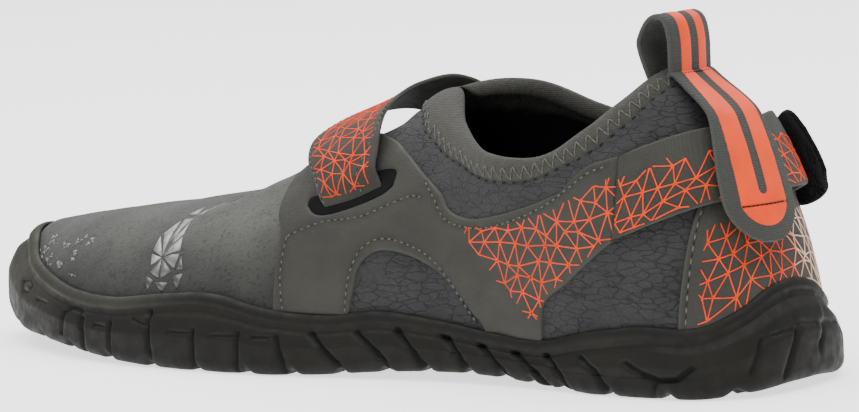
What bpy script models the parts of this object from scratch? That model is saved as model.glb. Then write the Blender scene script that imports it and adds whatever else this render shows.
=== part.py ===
"""A slip-on water shoe for the right foot, as separate closed pieces in metres.

The toe points to -X and the heel to +X. The medial side is at -Y, the lateral side at +Y. The shoe
stands on z = 0. Every piece follows one surface, the outside of the upper, which is worked out from the
table SECTIONS.
"""

import math
from collections import namedtuple

import bmesh
import bpy
from mathutils import Matrix, Vector

# Driving sizes of the shoe, metres
LENGTH = 0.279
BALL_WIDTH = 0.100
INSTEP_HEIGHT = 0.0685
HEEL_HEIGHT = 0.0822
COLLAR_WIDTH = 0.054
TOE_SPRING = 0.011

# Sizes of the outsole
TOE_RUBBER = 0.0052
SIDE_RUBBER = 0.0036
HEEL_RUBBER = 0.0050
SOLE_FLOOR = 0.0055
LUG_DEPTH = 0.0022
GROOVE_WIDTH = 0.0022
GROOVE_DEPTH = 0.0014
EDGE_ROUND = 0.0030
LIP_THICKNESS = 0.0019
LIP_HEIGHT = 0.0030

# Walls and the air between two pieces
UPPER_WALL = 0.0022
INSOLE_THICKNESS = 0.0030
CLEARANCE = 0.0003

Section = namedtuple("Section", "along medial lateral top_along ridge opening height extra fullness bulge")
# A row for each section from toe to heel. along and top_along are shares of LENGTH, from the middle of
# the shoe, for the lower edge and for the ridge or collar above it. medial, lateral and ridge are shares
# of BALL_WIDTH. opening is the collar's half width as a share of COLLAR_WIDTH. height is a share of
# INSTEP_HEIGHT, and past 1 it climbs to HEEL_HEIGHT. extra is what the lateral side adds to it. fullness
# is the power of the curve between edge and top, bulge a share of BALL_WIDTH.
SECTIONS = (
    Section(-0.4660, 0.080, -0.080, -0.4000, -0.075, 0.000, 0.507, 0.00, 2.2, 0.000),
    Section(-0.4590, 0.135, -0.015, -0.3980, -0.074, 0.000, 0.509, 0.00, 2.2, 0.000),
    Section(-0.4350, 0.200, 0.095, -0.3880, -0.070, 0.000, 0.518, 0.00, 2.2, 0.000),
    Section(-0.3880, 0.296, 0.222, -0.3600, -0.060, 0.000, 0.538, 0.00, 2.2, 0.000),
    Section(-0.3200, 0.380, 0.335, -0.3100, -0.040, 0.000, 0.567, 0.00, 2.2, 0.000),
    Section(-0.2300, 0.432, 0.420, -0.2300, -0.015, 0.000, 0.611, 0.00, 2.2, 0.000),
    Section(-0.1400, 0.443, 0.462, -0.1400, 0.000, 0.000, 0.671, 0.00, 2.1, 0.000),
    Section(-0.0500, 0.425, 0.462, -0.0500, 0.000, 0.000, 0.823, 0.00, 2.0, 0.000),
    Section(0.0300, 0.375, 0.430, 0.0300, 0.025, 0.000, 0.950, 0.00, 1.9, 0.004),
    Section(0.0950, 0.332, 0.395, 0.0790, 0.060, 0.000, 1.085, 0.00, 1.8, 0.008),
    Section(0.1600, 0.300, 0.362, 0.1350, 0.030, 0.250, 0.972, 0.135, 1.8, 0.014),
    Section(0.2250, 0.290, 0.340, 0.2000, 0.000, 0.450, 0.886, 0.115, 1.8, 0.022),
    Section(0.2950, 0.298, 0.330, 0.2700, 0.000, 0.500, 0.885, 0.020, 1.8, 0.024),
    Section(0.3700, 0.305, 0.322, 0.3180, 0.000, 0.450, 0.997, 0.000, 1.7, 0.020),
    Section(0.4350, 0.265, 0.285, 0.3450, 0.000, 0.330, 1.103, 0.00, 1.65, 0.014),
    Section(0.4730, 0.155, 0.165, 0.3560, 0.000, 0.165, 1.177, 0.00, 1.6, 0.006),
    Section(0.4820, 0.000, 0.000, 0.3590, 0.000, 0.000, 1.200, 0.00, 1.6, 0.000),
)
THROAT = 9
LAST = len(SECTIONS) - 1
RINGS_IN_SOLE = 2
RINGS_ABOVE = 6

Edge = namedtuple("Edge", "along bottom medial_lip lateral_lip")
# A row for each height of the outsole: along is a share of LENGTH, bottom a share of TOE_SPRING, the lips
# are shares of INSTEP_HEIGHT.
EDGES = (
    Edge(-0.466, 1.00, 0.465, 0.465),
    Edge(-0.437, 0.66, 0.424, 0.420),
    Edge(-0.400, 0.42, 0.362, 0.345),
    Edge(-0.345, 0.34, 0.308, 0.280),
    Edge(-0.290, 0.22, 0.270, 0.250),
    Edge(-0.230, 0.08, 0.263, 0.253),
    Edge(-0.160, 0.00, 0.293, 0.278),
    Edge(-0.100, 0.00, 0.304, 0.297),
    Edge(-0.030, 0.00, 0.256, 0.264),
    Edge(0.030, 0.06, 0.240, 0.243),
    Edge(0.085, 0.16, 0.262, 0.242),
    Edge(0.150, 0.22, 0.237, 0.235),
    Edge(0.210, 0.20, 0.204, 0.213),
    Edge(0.270, 0.10, 0.188, 0.195),
    Edge(0.330, 0.00, 0.237, 0.225),
    Edge(0.390, 0.00, 0.270, 0.260),
    Edge(0.440, 0.00, 0.265, 0.268),
    Edge(0.470, 0.10, 0.328, 0.328),
    Edge(0.482, 0.22, 0.409, 0.409),
)

Groove = namedtuple("Groove", "along slant")
# Grooves of the sole's side from toe to heel: the place at half height and the lean, both shares of
# LENGTH
GROOVES = (
    Groove(-0.410, 0.000),
    Groove(-0.350, 0.000),
    Groove(-0.295, 0.000),
    Groove(-0.235, 0.000),
    Groove(-0.175, 0.000),
    Groove(-0.115, 0.002),
    Groove(-0.055, 0.008),
    Groove(-0.005, 0.016),
    Groove(0.045, 0.018),
    Groove(0.092, 0.012),
    Groove(0.138, 0.012),
    Groove(0.185, 0.015),
    Groove(0.226, 0.015),
    Groove(0.262, 0.012),
    Groove(0.298, 0.012),
    Groove(0.355, 0.020),
    Groove(0.415, -0.010),
    Groove(0.462, -0.006),
)


Band = namedtuple("Band", "side low_along low high_along high lift")
# The heel strap from the medial cage round the heel: side, then each edge's place along (share of LENGTH)
# and height (share of INSTEP_HEIGHT), and the gap under the band in metres
HEEL_STRAP = (
    Band(-1, 0.3645, 0.590, 0.3640, 0.905, 0.0006),
    Band(-1, 0.394, 0.640, 0.386, 0.935, 0.0012),
    Band(-1, 0.421, 0.685, 0.404, 0.960, 0.0020),
    Band(-1, 0.438, 0.710, 0.415, 0.970, 0.0022),
    Band(1, 0.490, 0.720, 0.490, 0.970, 0.0024),
    Band(1, 0.452, 0.720, 0.427, 0.975, 0.0026),
    Band(1, 0.440, 0.710, 0.416, 0.975, 0.0030),
    Band(1, 0.420, 0.690, 0.402, 0.970, 0.0042),
    Band(1, 0.394, 0.650, 0.384, 0.940, 0.0040),
    Band(1, 0.360, 0.600, 0.356, 0.890, 0.0030),
)
HEEL_TAB = (
    Band(1, 0.352, 0.640, 0.348, 0.870, 0.0048),
    Band(1, 0.380, 0.640, 0.372, 0.930, 0.0059),
    Band(1, 0.402, 0.640, 0.392, 0.985, 0.0074),
    Band(1, 0.420, 0.680, 0.406, 0.980, 0.0090),
    Band(1, 0.428, 0.760, 0.416, 0.920, 0.0100),
)
Cross = namedtuple("Cross", "wrap front rear lift")
# The instep strap from the medial slot over the ridge: wrap is -1 at the medial edge of the sole, 0 on
# the ridge and 1 at the lateral edge; front and rear are shares of LENGTH; the gap under the band is in
# metres
INSTEP_STRAP = (
    Cross(-0.455, -0.004, 0.062, 0.0029),
    Cross(-0.400, -0.014, 0.060, 0.0034),
    Cross(-0.320, -0.028, 0.056, 0.0045),
    Cross(-0.200, -0.040, 0.048, 0.0054),
    Cross(-0.080, -0.036, 0.048, 0.0062),
    Cross(0.020, -0.022, 0.060, 0.0070),
    Cross(0.140, 0.004, 0.076, 0.0070),
    Cross(0.260, 0.018, 0.086, 0.0056),
    Cross(0.380, 0.026, 0.090, 0.0030),
    Cross(0.500, 0.030, 0.092, 0.0017),
)
INSTEP_TAB = (
    Cross(0.507, 0.030, 0.092, 0.0017),
    Cross(0.560, 0.032, 0.092, 0.0016),
    Cross(0.620, 0.038, 0.086, 0.0016),
)
# Shares of the heel's middle line along which the loop's front leg lies, inside the collar
LOOP_INSIDE = (0.930, 0.965, 0.995)
# The loop's path from there over the top to the striped tab: metres behind the rim's middle and above it
LOOP_PATH = (
    (-0.0044, 0.0050),
    (-0.0038, 0.0090),
    (-0.0014, 0.0125),
    (0.0014, 0.0136),
    (0.0040, 0.0120),
    (0.0052, 0.0074),
    (0.0053, -0.0003),
)
LOOP_WIDTH = 0.0180
LOOP_CURVE = 0.032
LOOP_THICKNESS = 0.0015
STRAP_THICKNESS = 0.0014
TAB_THICKNESS = 0.0012
CAGE_THICKNESS = 0.0009
COUNTER_THICKNESS = 0.0008
LIP_GAP = 0.0006
FLAP_LIFT = 0.0012
CAGE_ROWS = (5.4, 13.6)
COUNTER_FRONT = 0.428
COUNTER_TOP = 0.730
BRIDGE_TOP = HEEL_HEIGHT - 0.0022
BRIDGE_LOW = 0.0385
BRIDGE_TOP_WIDTH = 0.0180
BRIDGE_WIDTH = 0.0240
BRIDGE_TOP_LIFT = 0.0010
BRIDGE_LIFT = 0.0062
BRIDGE_CURVE = 0.040
BRIDGE_STEPS = 12
INSIDE = Vector((LENGTH * 0.2, 0.0, INSTEP_HEIGHT * 0.4))
# Outlines in the side view, each a chain of smooth runs: along as a share of LENGTH, height of
# INSTEP_HEIGHT
CAGE_FRONT = ((-0.027, 0.05), (-0.034, 0.488), (-0.050, 0.620), (-0.060, 0.745))
CAGE_FLAP_TOP = ((-0.060, 0.745), (-0.040, 0.800), (0.000, 0.860), (0.032, 0.904))
CAGE_REAR_TOP = (
    (0.032, 0.904), (0.061, 0.897), (0.081, 0.861), (0.113, 0.783),
    (0.141, 0.718), (0.153, 0.668), (0.166, 0.644),
    (0.187, 0.634), (0.212, 0.648), (0.244, 0.679), (0.273, 0.715), (0.300, 0.757),
)
CAGE_STRAP_TOP = ((0.300, 0.757), (0.328, 0.856), (0.346, 0.882), (0.362, 0.902))
CAGE_END = ((0.362, 0.902), (0.362, 0.583))
CAGE_LEG = (
    (0.362, 0.583), (0.355, 0.567), (0.327, 0.479), (0.307, 0.414),
    (0.285, 0.355), (0.275, 0.286), (0.272, 0.05),
)
CAGE_WINDOW = (
    (0.203, 0.05), (0.203, 0.209), (0.185, 0.283), (0.166, 0.361),
    (0.149, 0.419), (0.123, 0.465), (0.098, 0.491),
    (0.077, 0.493), (0.064, 0.461), (0.058, 0.415), (0.056, 0.345), (0.053, 0.252), (0.052, 0.05),
)
SLOT = (
    (
        (-0.016, 0.650), (-0.004, 0.622), (0.012, 0.621), (0.041, 0.655), (0.068, 0.700), (0.079, 0.735),
    ),
    (
        (0.079, 0.735), (0.077, 0.790), (0.060, 0.790), (0.030, 0.745), (0.000, 0.700), (-0.016, 0.680),
        (-0.016, 0.650),
    ),
)
CAGE_RUNS = (CAGE_FRONT, CAGE_FLAP_TOP, CAGE_REAR_TOP, CAGE_STRAP_TOP, CAGE_END, CAGE_LEG, CAGE_WINDOW)

def blend(a, b, share):
    """Value between two numbers."""
    return a + (b - a) * share


def smooth_step(share):
    """An eased 0 to 1."""
    share = min(max(share, 0.0), 1.0)
    return share * share * (3 - 2 * share)


def through(values, place, crosses=False):
    """A smooth curve through a column of numbers at a fractional row, level at its ends unless it crosses there."""
    row = min(int(place), len(values) - 2)
    part = place - row
    start, end = values[row], values[row + 1]
    before = values[row - 1] if row else (2 * start - end if crosses else end)
    after = values[row + 2] if row + 2 < len(values) else (2 * end - start if crosses else start)
    out, into = (end - before) / 2, (after - start) / 2
    cube = 2 * start - 2 * end + out + into
    square = 3 * end - 3 * start - 2 * out - into
    return ((cube * part + square) * part + out) * part + start


def row_at(column, value):
    """The fractional row at which a rising column reaches a value."""
    low, high = 0.0, len(column) - 1.0
    for _ in range(30):
        middle = (low + high) / 2
        if through(column, middle) < value:
            low = middle
        else:
            high = middle
    return (low + high) / 2


COLUMNS = {name: [getattr(row, name) for row in SECTIONS] for name in Section._fields}
EDGE_COLUMNS = {name: [getattr(row, name) for row in EDGES] for name in Edge._fields}


def edge_value(name, along):
    """A height of the outsole at a share of the length."""
    first, last = EDGE_COLUMNS["along"][0], EDGE_COLUMNS["along"][-1]
    place = row_at(EDGE_COLUMNS["along"], min(max(along, first), last))
    return through(EDGE_COLUMNS[name], place)


def bottom_height(along):
    """How high the sole's bottom stands off the floor."""
    return TOE_SPRING * max(edge_value("bottom", along), 0.0)


def lip_height(side, along):
    """Top of the rubber on one side."""
    return INSTEP_HEIGHT * edge_value("medial_lip" if side < 0 else "lateral_lip", along)


def base_point(side, row):
    """Lower edge of the upper, where it stands on the sole's floor."""
    along = through(COLUMNS["along"], row)
    width = through(COLUMNS["medial" if side < 0 else "lateral"], row, crosses=True)
    height = bottom_height(along) + SOLE_FLOOR + CLEARANCE
    return Vector((LENGTH * along, side * BALL_WIDTH * width, height))


def top_point(side, row):
    """Ridge of the forefoot, or the collar's edge behind the throat."""
    opening = 0.0 if row <= THROAT else max(through(COLUMNS["opening"], row, crosses=True), 0.0)
    across = BALL_WIDTH * through(COLUMNS["ridge"], row) + side * COLLAR_WIDTH * opening
    height = through(COLUMNS["height"], row)
    heel = max(height - 1.0, 0.0) / (COLUMNS["height"][-1] - 1.0)
    height = INSTEP_HEIGHT * min(height, 1.0) + (HEEL_HEIGHT - INSTEP_HEIGHT) * heel
    if side > 0:
        height += INSTEP_HEIGHT * max(through(COLUMNS["extra"], row), 0.0)
    return Vector((LENGTH * through(COLUMNS["top_along"], row), across, height))


def skin(side, row, share):
    """A point on the upper's outside: share 0 is the lower edge, 1 the ridge or the collar."""
    base, top = base_point(side, row), top_point(side, row)
    power = 2 / through(COLUMNS["fullness"], row)
    angle = share * math.pi / 2
    out = max(math.cos(angle), 0.0) ** power
    rise = max(math.sin(angle), 0.0) ** power
    bulge = side * BALL_WIDTH * through(COLUMNS["bulge"], row) * math.sin(math.pi * share)
    return Vector((blend(top.x, base.x, out), blend(top.y, base.y, out) + bulge, blend(base.z, top.z, rise)))


def share_at(side, row, height):
    """The share at which the upper's outside reaches a height."""
    base, top = base_point(side, row), top_point(side, row)
    rise = min(max((height - base.z) / (top.z - base.z), 0.0), 1.0)
    power = 2 / through(COLUMNS["fullness"], row)
    return math.asin(rise ** (1 / power)) * 2 / math.pi


def outward(side, row, share):
    """Unit normal of the upper's outside."""
    step = 0.01
    low, high = max(row - step, 0.0), min(row + step, LAST)
    along = skin(side, high, share) - skin(side, low, share)
    up = skin(side, row, min(share + step, 1.0)) - skin(side, row, max(share - step, 0.0))
    normal = along.cross(up) * -side
    return normal.normalized()


def off_skin(side, row, share, distance):
    """A point at a distance outside the upper."""
    return skin(side, row, share) + outward(side, row, share) * distance


def around(rows):
    """Every place along one loop round the shoe: toe, medial side, heel, lateral side."""
    forth = [(-1, row) for row in rows]
    back = [(1, row) for row in reversed(rows[1:-1])]
    return forth + back


Look = namedtuple("Look", "red green blue roughness")
# Colours read by eye from the photograph, linear
LOOKS = {
    "outsole": Look(0.034, 0.033, 0.027, 0.62),
    "upper": Look(0.140, 0.145, 0.145, 0.80),
    "insole": Look(0.020, 0.020, 0.021, 0.85),
    "cage_medial": Look(0.088, 0.086, 0.076, 0.70),
    "cage_lateral": Look(0.088, 0.086, 0.076, 0.70),
    "heel_counter": Look(0.085, 0.084, 0.076, 0.70),
    "heel_strap": Look(0.110, 0.112, 0.104, 0.70),
    "heel_hook_tab": Look(0.022, 0.022, 0.024, 0.80),
    "instep_strap": Look(0.110, 0.112, 0.104, 0.70),
    "instep_hook_tab": Look(0.022, 0.022, 0.024, 0.80),
    "bridge_strap": Look(0.114, 0.118, 0.110, 0.72),
    "pull_loop": Look(0.114, 0.118, 0.110, 0.72),
}


def finish_of(name):
    """A plain surface in the piece's main colour."""
    look = LOOKS[name]
    material = bpy.data.materials.new(name + "_surface")
    material.use_nodes = True
    shader = next(node for node in material.node_tree.nodes if node.type == "BSDF_PRINCIPLED")
    shader.inputs["Base Color"].default_value = (look.red, look.green, look.blue, 1.0)
    shader.inputs["Roughness"].default_value = look.roughness
    shader.inputs["Metallic"].default_value = 0.0
    return material


def make_object(name, vertices, faces, merge=1e-6):
    """A mesh object from points and faces, with its faces turned outwards."""
    mesh = bpy.data.meshes.new(name)
    mesh.from_pydata([tuple(v) for v in vertices], [], faces)
    bm = bmesh.new()
    bm.from_mesh(mesh)
    bmesh.ops.remove_doubles(bm, verts=bm.verts, dist=merge)
    bmesh.ops.dissolve_degenerate(bm, edges=bm.edges, dist=merge)
    bmesh.ops.recalc_face_normals(bm, faces=bm.faces)
    bm.to_mesh(mesh)
    bm.free()
    mesh.materials.append(finish_of(name))
    thing = bpy.data.objects.new(name, mesh)
    SHOE.objects.link(thing)
    return thing


def two_triangles(a, b, c, d):
    """A quad split the same way on every piece, so that two pieces keep the same air between them."""
    return (a, b, c), (a, c, d)


def lip_share(side, row):
    """The share at which the upper leaves the rubber."""
    return share_at(side, row, lip_height(side, through(COLUMNS["along"], row)))


def wall_shares(side, row):
    """Shares of the upper's rings: a few inside the rubber, the rest from the lip to the top."""
    lip = lip_share(side, row)
    below = [lip * i / RINGS_IN_SOLE for i in range(RINGS_IN_SOLE)]
    above = [blend(lip, 1.0, i / RINGS_ABOVE) for i in range(RINGS_ABOVE + 1)]
    return below + above


def make_upper():
    """The hollow upper: an open sheet with a wall that grows inwards."""
    rows = [station.row for station in sole_stations() if station.corner]
    loop = around(rows)
    columns = [[skin(side, row, share) for share in wall_shares(side, row)] for side, row in loop]
    vertices = [point for column in columns for point in column]
    tall, count = len(columns[0]), len(loop)
    faces = []
    for i in range(count):
        j = (i + 1) % count
        for level in range(tall - 1):
            low, high = i * tall + level, j * tall + level
            faces.extend(two_triangles(low, high, high + 1, low + 1))
    upper = make_object("upper", vertices, faces)
    wall = upper.modifiers.new("wall", "SOLIDIFY")
    wall.thickness = UPPER_WALL
    wall.offset = -1
    return upper


def rubber(along):
    """Thickness of the rubber outside the upper at mid height."""
    toe = smooth_step((-0.34 - along) / 0.12)
    heel = smooth_step((along - 0.36) / 0.11)
    return SIDE_RUBBER + (TOE_RUBBER - SIDE_RUBBER) * toe + (HEEL_RUBBER - SIDE_RUBBER) * heel


def at_height(side, row, height, distance):
    """A point at a height, a distance outside the upper or, lower down, outside its lower edge."""
    share = share_at(side, row, height)
    point = skin(side, row, share)
    normal = outward(side, row, share)
    if share == 0.0:
        normal = Vector((normal.x, normal.y, 0)).normalized()
        point.z = height
    return point + normal * distance


Station = namedtuple("Station", "row depth lean corner")


def sole_stations():
    """Rows round the sole, with the groove's depth and lean there. A corner is a row that the upper has too."""
    stations = [Station(row, 0.0, 0.0, True) for row in (0.0, 0.4, 0.8, 1.25, 1.8, 2.3)]
    half = GROOVE_WIDTH / LENGTH / 2
    for i, groove in enumerate(GROOVES):
        for step in (-half, 0.0, half):
            row = row_at(COLUMNS["along"], groove.along + step)
            stations.append(Station(row, float(step == 0.0), groove.slant, step == 0.0))
        if i + 1 < len(GROOVES):
            after = GROOVES[i + 1]
            row = row_at(COLUMNS["along"], (groove.along + after.along) / 2)
            stations.append(Station(row, 0.0, (groove.slant + after.slant) / 2, True))
    last_row = stations[-1].row
    for row in (15.0, 15.5, float(LAST)):
        if row > last_row + 0.1:
            stations.append(Station(row, 0.0, 0.0, True))
    return stations


def leaning(row, lean, level):
    """The row of a slanted groove at a level from -0.5 at the bottom to 0.5 at the lip."""
    if lean == 0.0:
        return row
    return row_at(COLUMNS["along"], through(COLUMNS["along"], row) - lean * level)


Level = namedtuple("Level", "share up rubber out groove level")
# The outside of the sole's wall in section: share of the height between bottom and lip, metres above
# that, share of the rubber's thickness, metres outside that, share of the groove's depth, and how far a
# leaning groove has come.
SOLE_LEVELS = (
    Level(0.00, 0.0, 1.0, -EDGE_ROUND, 1.0, -0.5),
    Level(0.00, EDGE_ROUND * 0.90, 1.0, 0.0002, 1.0, -0.35),
    Level(0.55, 0.0, 0.95, 0.0002, 1.0, 0.1),
    Level(0.80, 0.0, 0.50, 0.0003, 0.3, 0.4),
    Level(1.00, -LIP_HEIGHT * 0.8, 0.0, LIP_THICKNESS + CLEARANCE, 0.0, 0.0),
    Level(1.00, -0.0005, 0.0, LIP_THICKNESS + CLEARANCE, 0.0, 0.0),
    Level(1.00, 0.0, 0.0, CLEARANCE + LIP_THICKNESS / 2, 0.0, 0.0),
)


def outer_column(side, station):
    """The outside of the sole's wall at one place, from the bottom edge to the lip."""
    points = []
    for level in SOLE_LEVELS:
        row = leaning(station.row, station.lean, level.level)
        along = through(COLUMNS["along"], row)
        height = blend(bottom_height(along), lip_height(side, along), level.share) + level.up
        out = rubber(along) * level.rubber + level.out - GROOVE_DEPTH * station.depth * level.groove
        points.append(at_height(side, row, height, out))
    return points


def inner_column(side, row):
    """The inside of the sole's wall at one place, from the lip down to the floor, clear of the upper."""
    lip = lip_share(side, row)
    points = [off_skin(side, row, lip * i / RINGS_IN_SOLE, CLEARANCE) for i in range(RINGS_IN_SOLE, -1, -1)]
    base = points[-1].copy()
    base.z = bottom_height(through(COLUMNS["along"], row)) + SOLE_FLOOR
    return points + [base]


def inner_columns(side, stations):
    """Inner columns of all stations: between the upper's rows they lie on its flat facets."""
    columns = [inner_column(side, station.row) for station in stations]
    for i, station in enumerate(stations):
        if not station.corner:
            before, after = stations[i - 1], stations[i + 1]
            part = (station.row - before.row) / (after.row - before.row)
            columns[i] = [a.lerp(b, part) for a, b in zip(columns[i - 1], columns[i + 1])]
    return columns


Track = namedtuple("Track", "across depth")
# Long grooves of the tread: place across the sole from the medial edge, and depth as a share of LUG_DEPTH
TRACKS = (
    Track(0.10, 0.0),
    Track(0.33, 0.0),
    Track(0.355, 1.0),
    Track(0.38, 0.0),
    Track(0.62, 0.0),
    Track(0.645, 1.0),
    Track(0.67, 0.0),
    Track(0.90, 0.0),
)
FLOOR_TRACKS = (Track(0.5, 0.0),)
CHEVRON = 0.006


def across_points(medial, lateral, tracks, depth, chevron):
    """Points from one edge of the sole to the other, pushed up into the grooves."""
    points = []
    for track in tracks:
        point = medial.lerp(lateral, track.across)
        point.x -= chevron * math.sin(math.pi * track.across)
        along = min(max(point.x / LENGTH, COLUMNS["along"][0]), COLUMNS["along"][-1])
        point.z = bottom_height(along) + LUG_DEPTH * max(track.depth, depth)
        points.append(point)
    return points


def make_outsole():
    """The cup sole: wall rings, a tread of blocks below and a floor inside."""
    stations = sole_stations()
    columns = {}
    for side in (-1, 1):
        inner = inner_columns(side, stations)
        for i, station in enumerate(stations):
            columns[side, i] = outer_column(side, station) + inner[i]
    last = len(stations) - 1
    tall = len(columns[-1, 0])
    loop = [(-1, i) for i in range(last + 1)] + [(1, i) for i in range(last - 1, 0, -1)]
    start_of = {place: k * tall for k, place in enumerate(loop)}
    vertices = [point for place in loop for point in columns[place]]
    faces = []
    for k, place in enumerate(loop):
        a, b = start_of[place], start_of[loop[(k + 1) % len(loop)]]
        for level in range(tall - 1):
            faces.append((a + level, b + level, b + level + 1, a + level + 1))
    for level, tracks in ((0, TRACKS), (tall - 1, FLOOR_TRACKS)):
        strips = {}
        for i in range(1, last):
            low, high = columns[-1, i][level], columns[1, i][level]
            if level:
                middle = [low.lerp(high, track.across) for track in tracks]
            else:
                middle = across_points(low, high, tracks, stations[i].depth, CHEVRON * min(i, last - i, 4) / 4)
            start = len(vertices)
            vertices.extend(middle)
            ends = start_of[-1, i] + level, start_of[1, i] + level
            strips[i] = [ends[0], *range(start, start + len(middle)), ends[1]]
        for i in range(1, last - 1):
            for a in range(len(tracks) + 1):
                faces.append((strips[i][a], strips[i][a + 1], strips[i + 1][a + 1], strips[i + 1][a]))
        for end, near in ((0, 1), (last, last - 1)):
            tip = start_of[-1, end] + level
            for a in range(len(tracks) + 1):
                faces.append((tip, strips[near][a], strips[near][a + 1]))
    return make_object("outsole", vertices, faces)


def make_insole():
    """A thin footbed inside the cup, clear of the upper's wall."""
    rows = [station.row for station in sole_stations() if station.corner]
    rows = rows[:-3:2] + rows[-3:]
    inset = UPPER_WALL + 3 * CLEARANCE
    vertices, faces = [], []
    loop = around(rows)
    for up in (0.0, INSOLE_THICKNESS):
        for side, row in loop:
            base = base_point(side, row)
            above = skin(side, row, lip_share(side, row) / RINGS_IN_SOLE)
            normal = outward(side, row, 0.0)
            flat = Vector((normal.x, normal.y, 0)).normalized()
            point = base.lerp(above, up / (above.z - base.z)) - flat * inset
            point.z = base.z + up
            vertices.append(point)
    count = len(loop)
    for i in range(count):
        j = (i + 1) % count
        faces.append((i, j, count + j, count + i))
    last = len(rows) - 1
    for start in (0, count):
        faces.append((start, start + 1, start + count - 1))
        for i in range(1, last - 1):
            faces.append((start + i, start + i + 1, start + count - i - 1, start + count - i))
        faces.append((start + last - 1, start + last, start + last + 1))
    return make_object("insole", vertices, faces)


def place_at(side, along, height):
    """Row and share of the place on the upper with a given distance along the shoe and height."""
    low, high = 0.0, float(LAST)
    for _ in range(24):
        row = (low + high) / 2
        share = share_at(side, row, height)
        if skin(side, row, share).x < along:
            low = row
        else:
            high = row
    return row, share_at(side, row, height)


def smooth_run(points, steps=4):
    """A smooth line through a few hand-set points."""
    columns = list(zip(*points))
    count = (len(points) - 1) * steps
    free = [through(column, i / steps, crosses=True) for column in columns for i in range(count + 1)]
    return list(zip(*[free[i * (count + 1):(i + 1) * (count + 1)] for i in range(len(columns))]))


def thicken(thing, thickness):
    """Gives an open sheet a wall that grows outwards."""
    wall = thing.modifiers.new("wall", "SOLIDIFY")
    wall.thickness = thickness
    wall.offset = 1
    return wall


def sheet(name, columns, closed=False):
    """An open sheet through columns of points that runs from the first column to the last."""
    vertices = [point for column in columns for point in column]
    tall, count = len(columns[0]), len(columns)
    faces = []
    for i in range(count if closed else count - 1):
        j = (i + 1) % count
        for level in range(tall - 1):
            low, high = i * tall + level, j * tall + level
            faces.extend(two_triangles(low, high, high + 1, low + 1))
    return make_object(name, vertices, faces)


def face_outwards(thing, inside):
    """Turns an open sheet's faces away from a point inside the shoe."""
    mesh = thing.data
    total = sum((p.center - inside).dot(p.normal) * p.area for p in mesh.polygons)
    if total < 0:
        mesh.flip_normals()


def prism(name, side, runs):
    """A cutter: an outline in the side view, carried through one side of the shoe."""
    outline = []
    for run in runs:
        outline.extend(run if len(run) < 3 else smooth_run(run, 3))
    near, far = side * 0.0005, side * BALL_WIDTH
    bm = bmesh.new()
    rings = []
    for across in (near, far):
        rings.append([bm.verts.new((LENGTH * x, across, INSTEP_HEIGHT * z)) for x, z in outline])
    bm.faces.new(rings[0])
    bm.faces.new(rings[1])
    for i in range(len(outline)):
        j = (i + 1) % len(outline)
        bm.faces.new((rings[0][i], rings[0][j], rings[1][j], rings[1][i]))
    bmesh.ops.remove_doubles(bm, verts=bm.verts, dist=1e-5)
    bmesh.ops.recalc_face_normals(bm, faces=bm.faces)
    mesh = bpy.data.meshes.new(name)
    bm.to_mesh(mesh)
    bm.free()
    cutter = bpy.data.objects.new(name, mesh)
    CUTTERS.objects.link(cutter)
    cutter.hide_render = True
    cutter.display_type = "WIRE"
    return cutter


def cut(thing, cutter, operation):
    """A Boolean modifier with the exact solver."""
    modifier = thing.modifiers.new(cutter.name, "BOOLEAN")
    modifier.object = cutter
    modifier.operation = operation
    modifier.solver = "EXACT"


def flap_lift(along, height):
    """How far the cage's upper flap stands off the instep, between the strap slot and its top."""
    front = smooth_step((along + 0.075) / 0.03) * smooth_step((0.075 - along) / 0.05)
    return FLAP_LIFT * front * smooth_step((height - 0.68) / 0.14)


def cage_sheet(side):
    """The upper's own surface a little larger, from the lip upwards on one side."""
    corners = [station.row for station in sole_stations() if station.corner]
    rows = [row for row in corners if CAGE_ROWS[0] < row < CAGE_ROWS[1]]
    columns = []
    for row in rows:
        lip = lip_height(side, through(COLUMNS["along"], row)) + LIP_GAP
        rings = wall_shares(side, row)[RINGS_IN_SOLE + 1:-1]
        column = []
        for share in [share_at(side, row, lip)] + rings:
            point = skin(side, row, share)
            lift = flap_lift(point.x / LENGTH, point.z / INSTEP_HEIGHT) if side < 0 else 0.0
            column.append(point + outward(side, row, share) * (CLEARANCE + lift))
        columns.append(column)
    return columns


def make_cage(name, side, runs, slots):
    """An overlay cut from the larger surface by its outline, with its slots cut through."""
    cage = sheet(name, cage_sheet(side))
    face_outwards(cage, INSIDE)
    thicken(cage, CAGE_THICKNESS)
    cut(cage, prism(name + "_outline", side, runs), "INTERSECT")
    for i, slot in enumerate(slots):
        cut(cage, prism(f"{name}_slot_{i}", side, slot), "DIFFERENCE")
    return cage


def make_heel_counter():
    """The overlay round the back of the heel, from the rubber up to under the heel strap."""
    columns = []
    start = {side: place_at(side, LENGTH * COUNTER_FRONT, INSTEP_HEIGHT * 0.5)[0] for side in (-1, 1)}
    count = 7
    loop = [(-1, blend(start[-1], LAST, i / count)) for i in range(count + 1)]
    loop += [(1, blend(LAST, start[1], i / count)) for i in range(1, count + 1)]
    for side, row in loop:
        lip = lip_height(side, through(COLUMNS["along"], row)) + LIP_GAP
        low, high = share_at(side, row, lip), share_at(side, row, INSTEP_HEIGHT * COUNTER_TOP)
        columns.append([off_skin(side, row, blend(low, high, i / 5), CLEARANCE) for i in range(6)])
    counter = sheet("heel_counter", columns)
    face_outwards(counter, INSIDE)
    thicken(counter, COUNTER_THICKNESS)
    return counter


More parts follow.
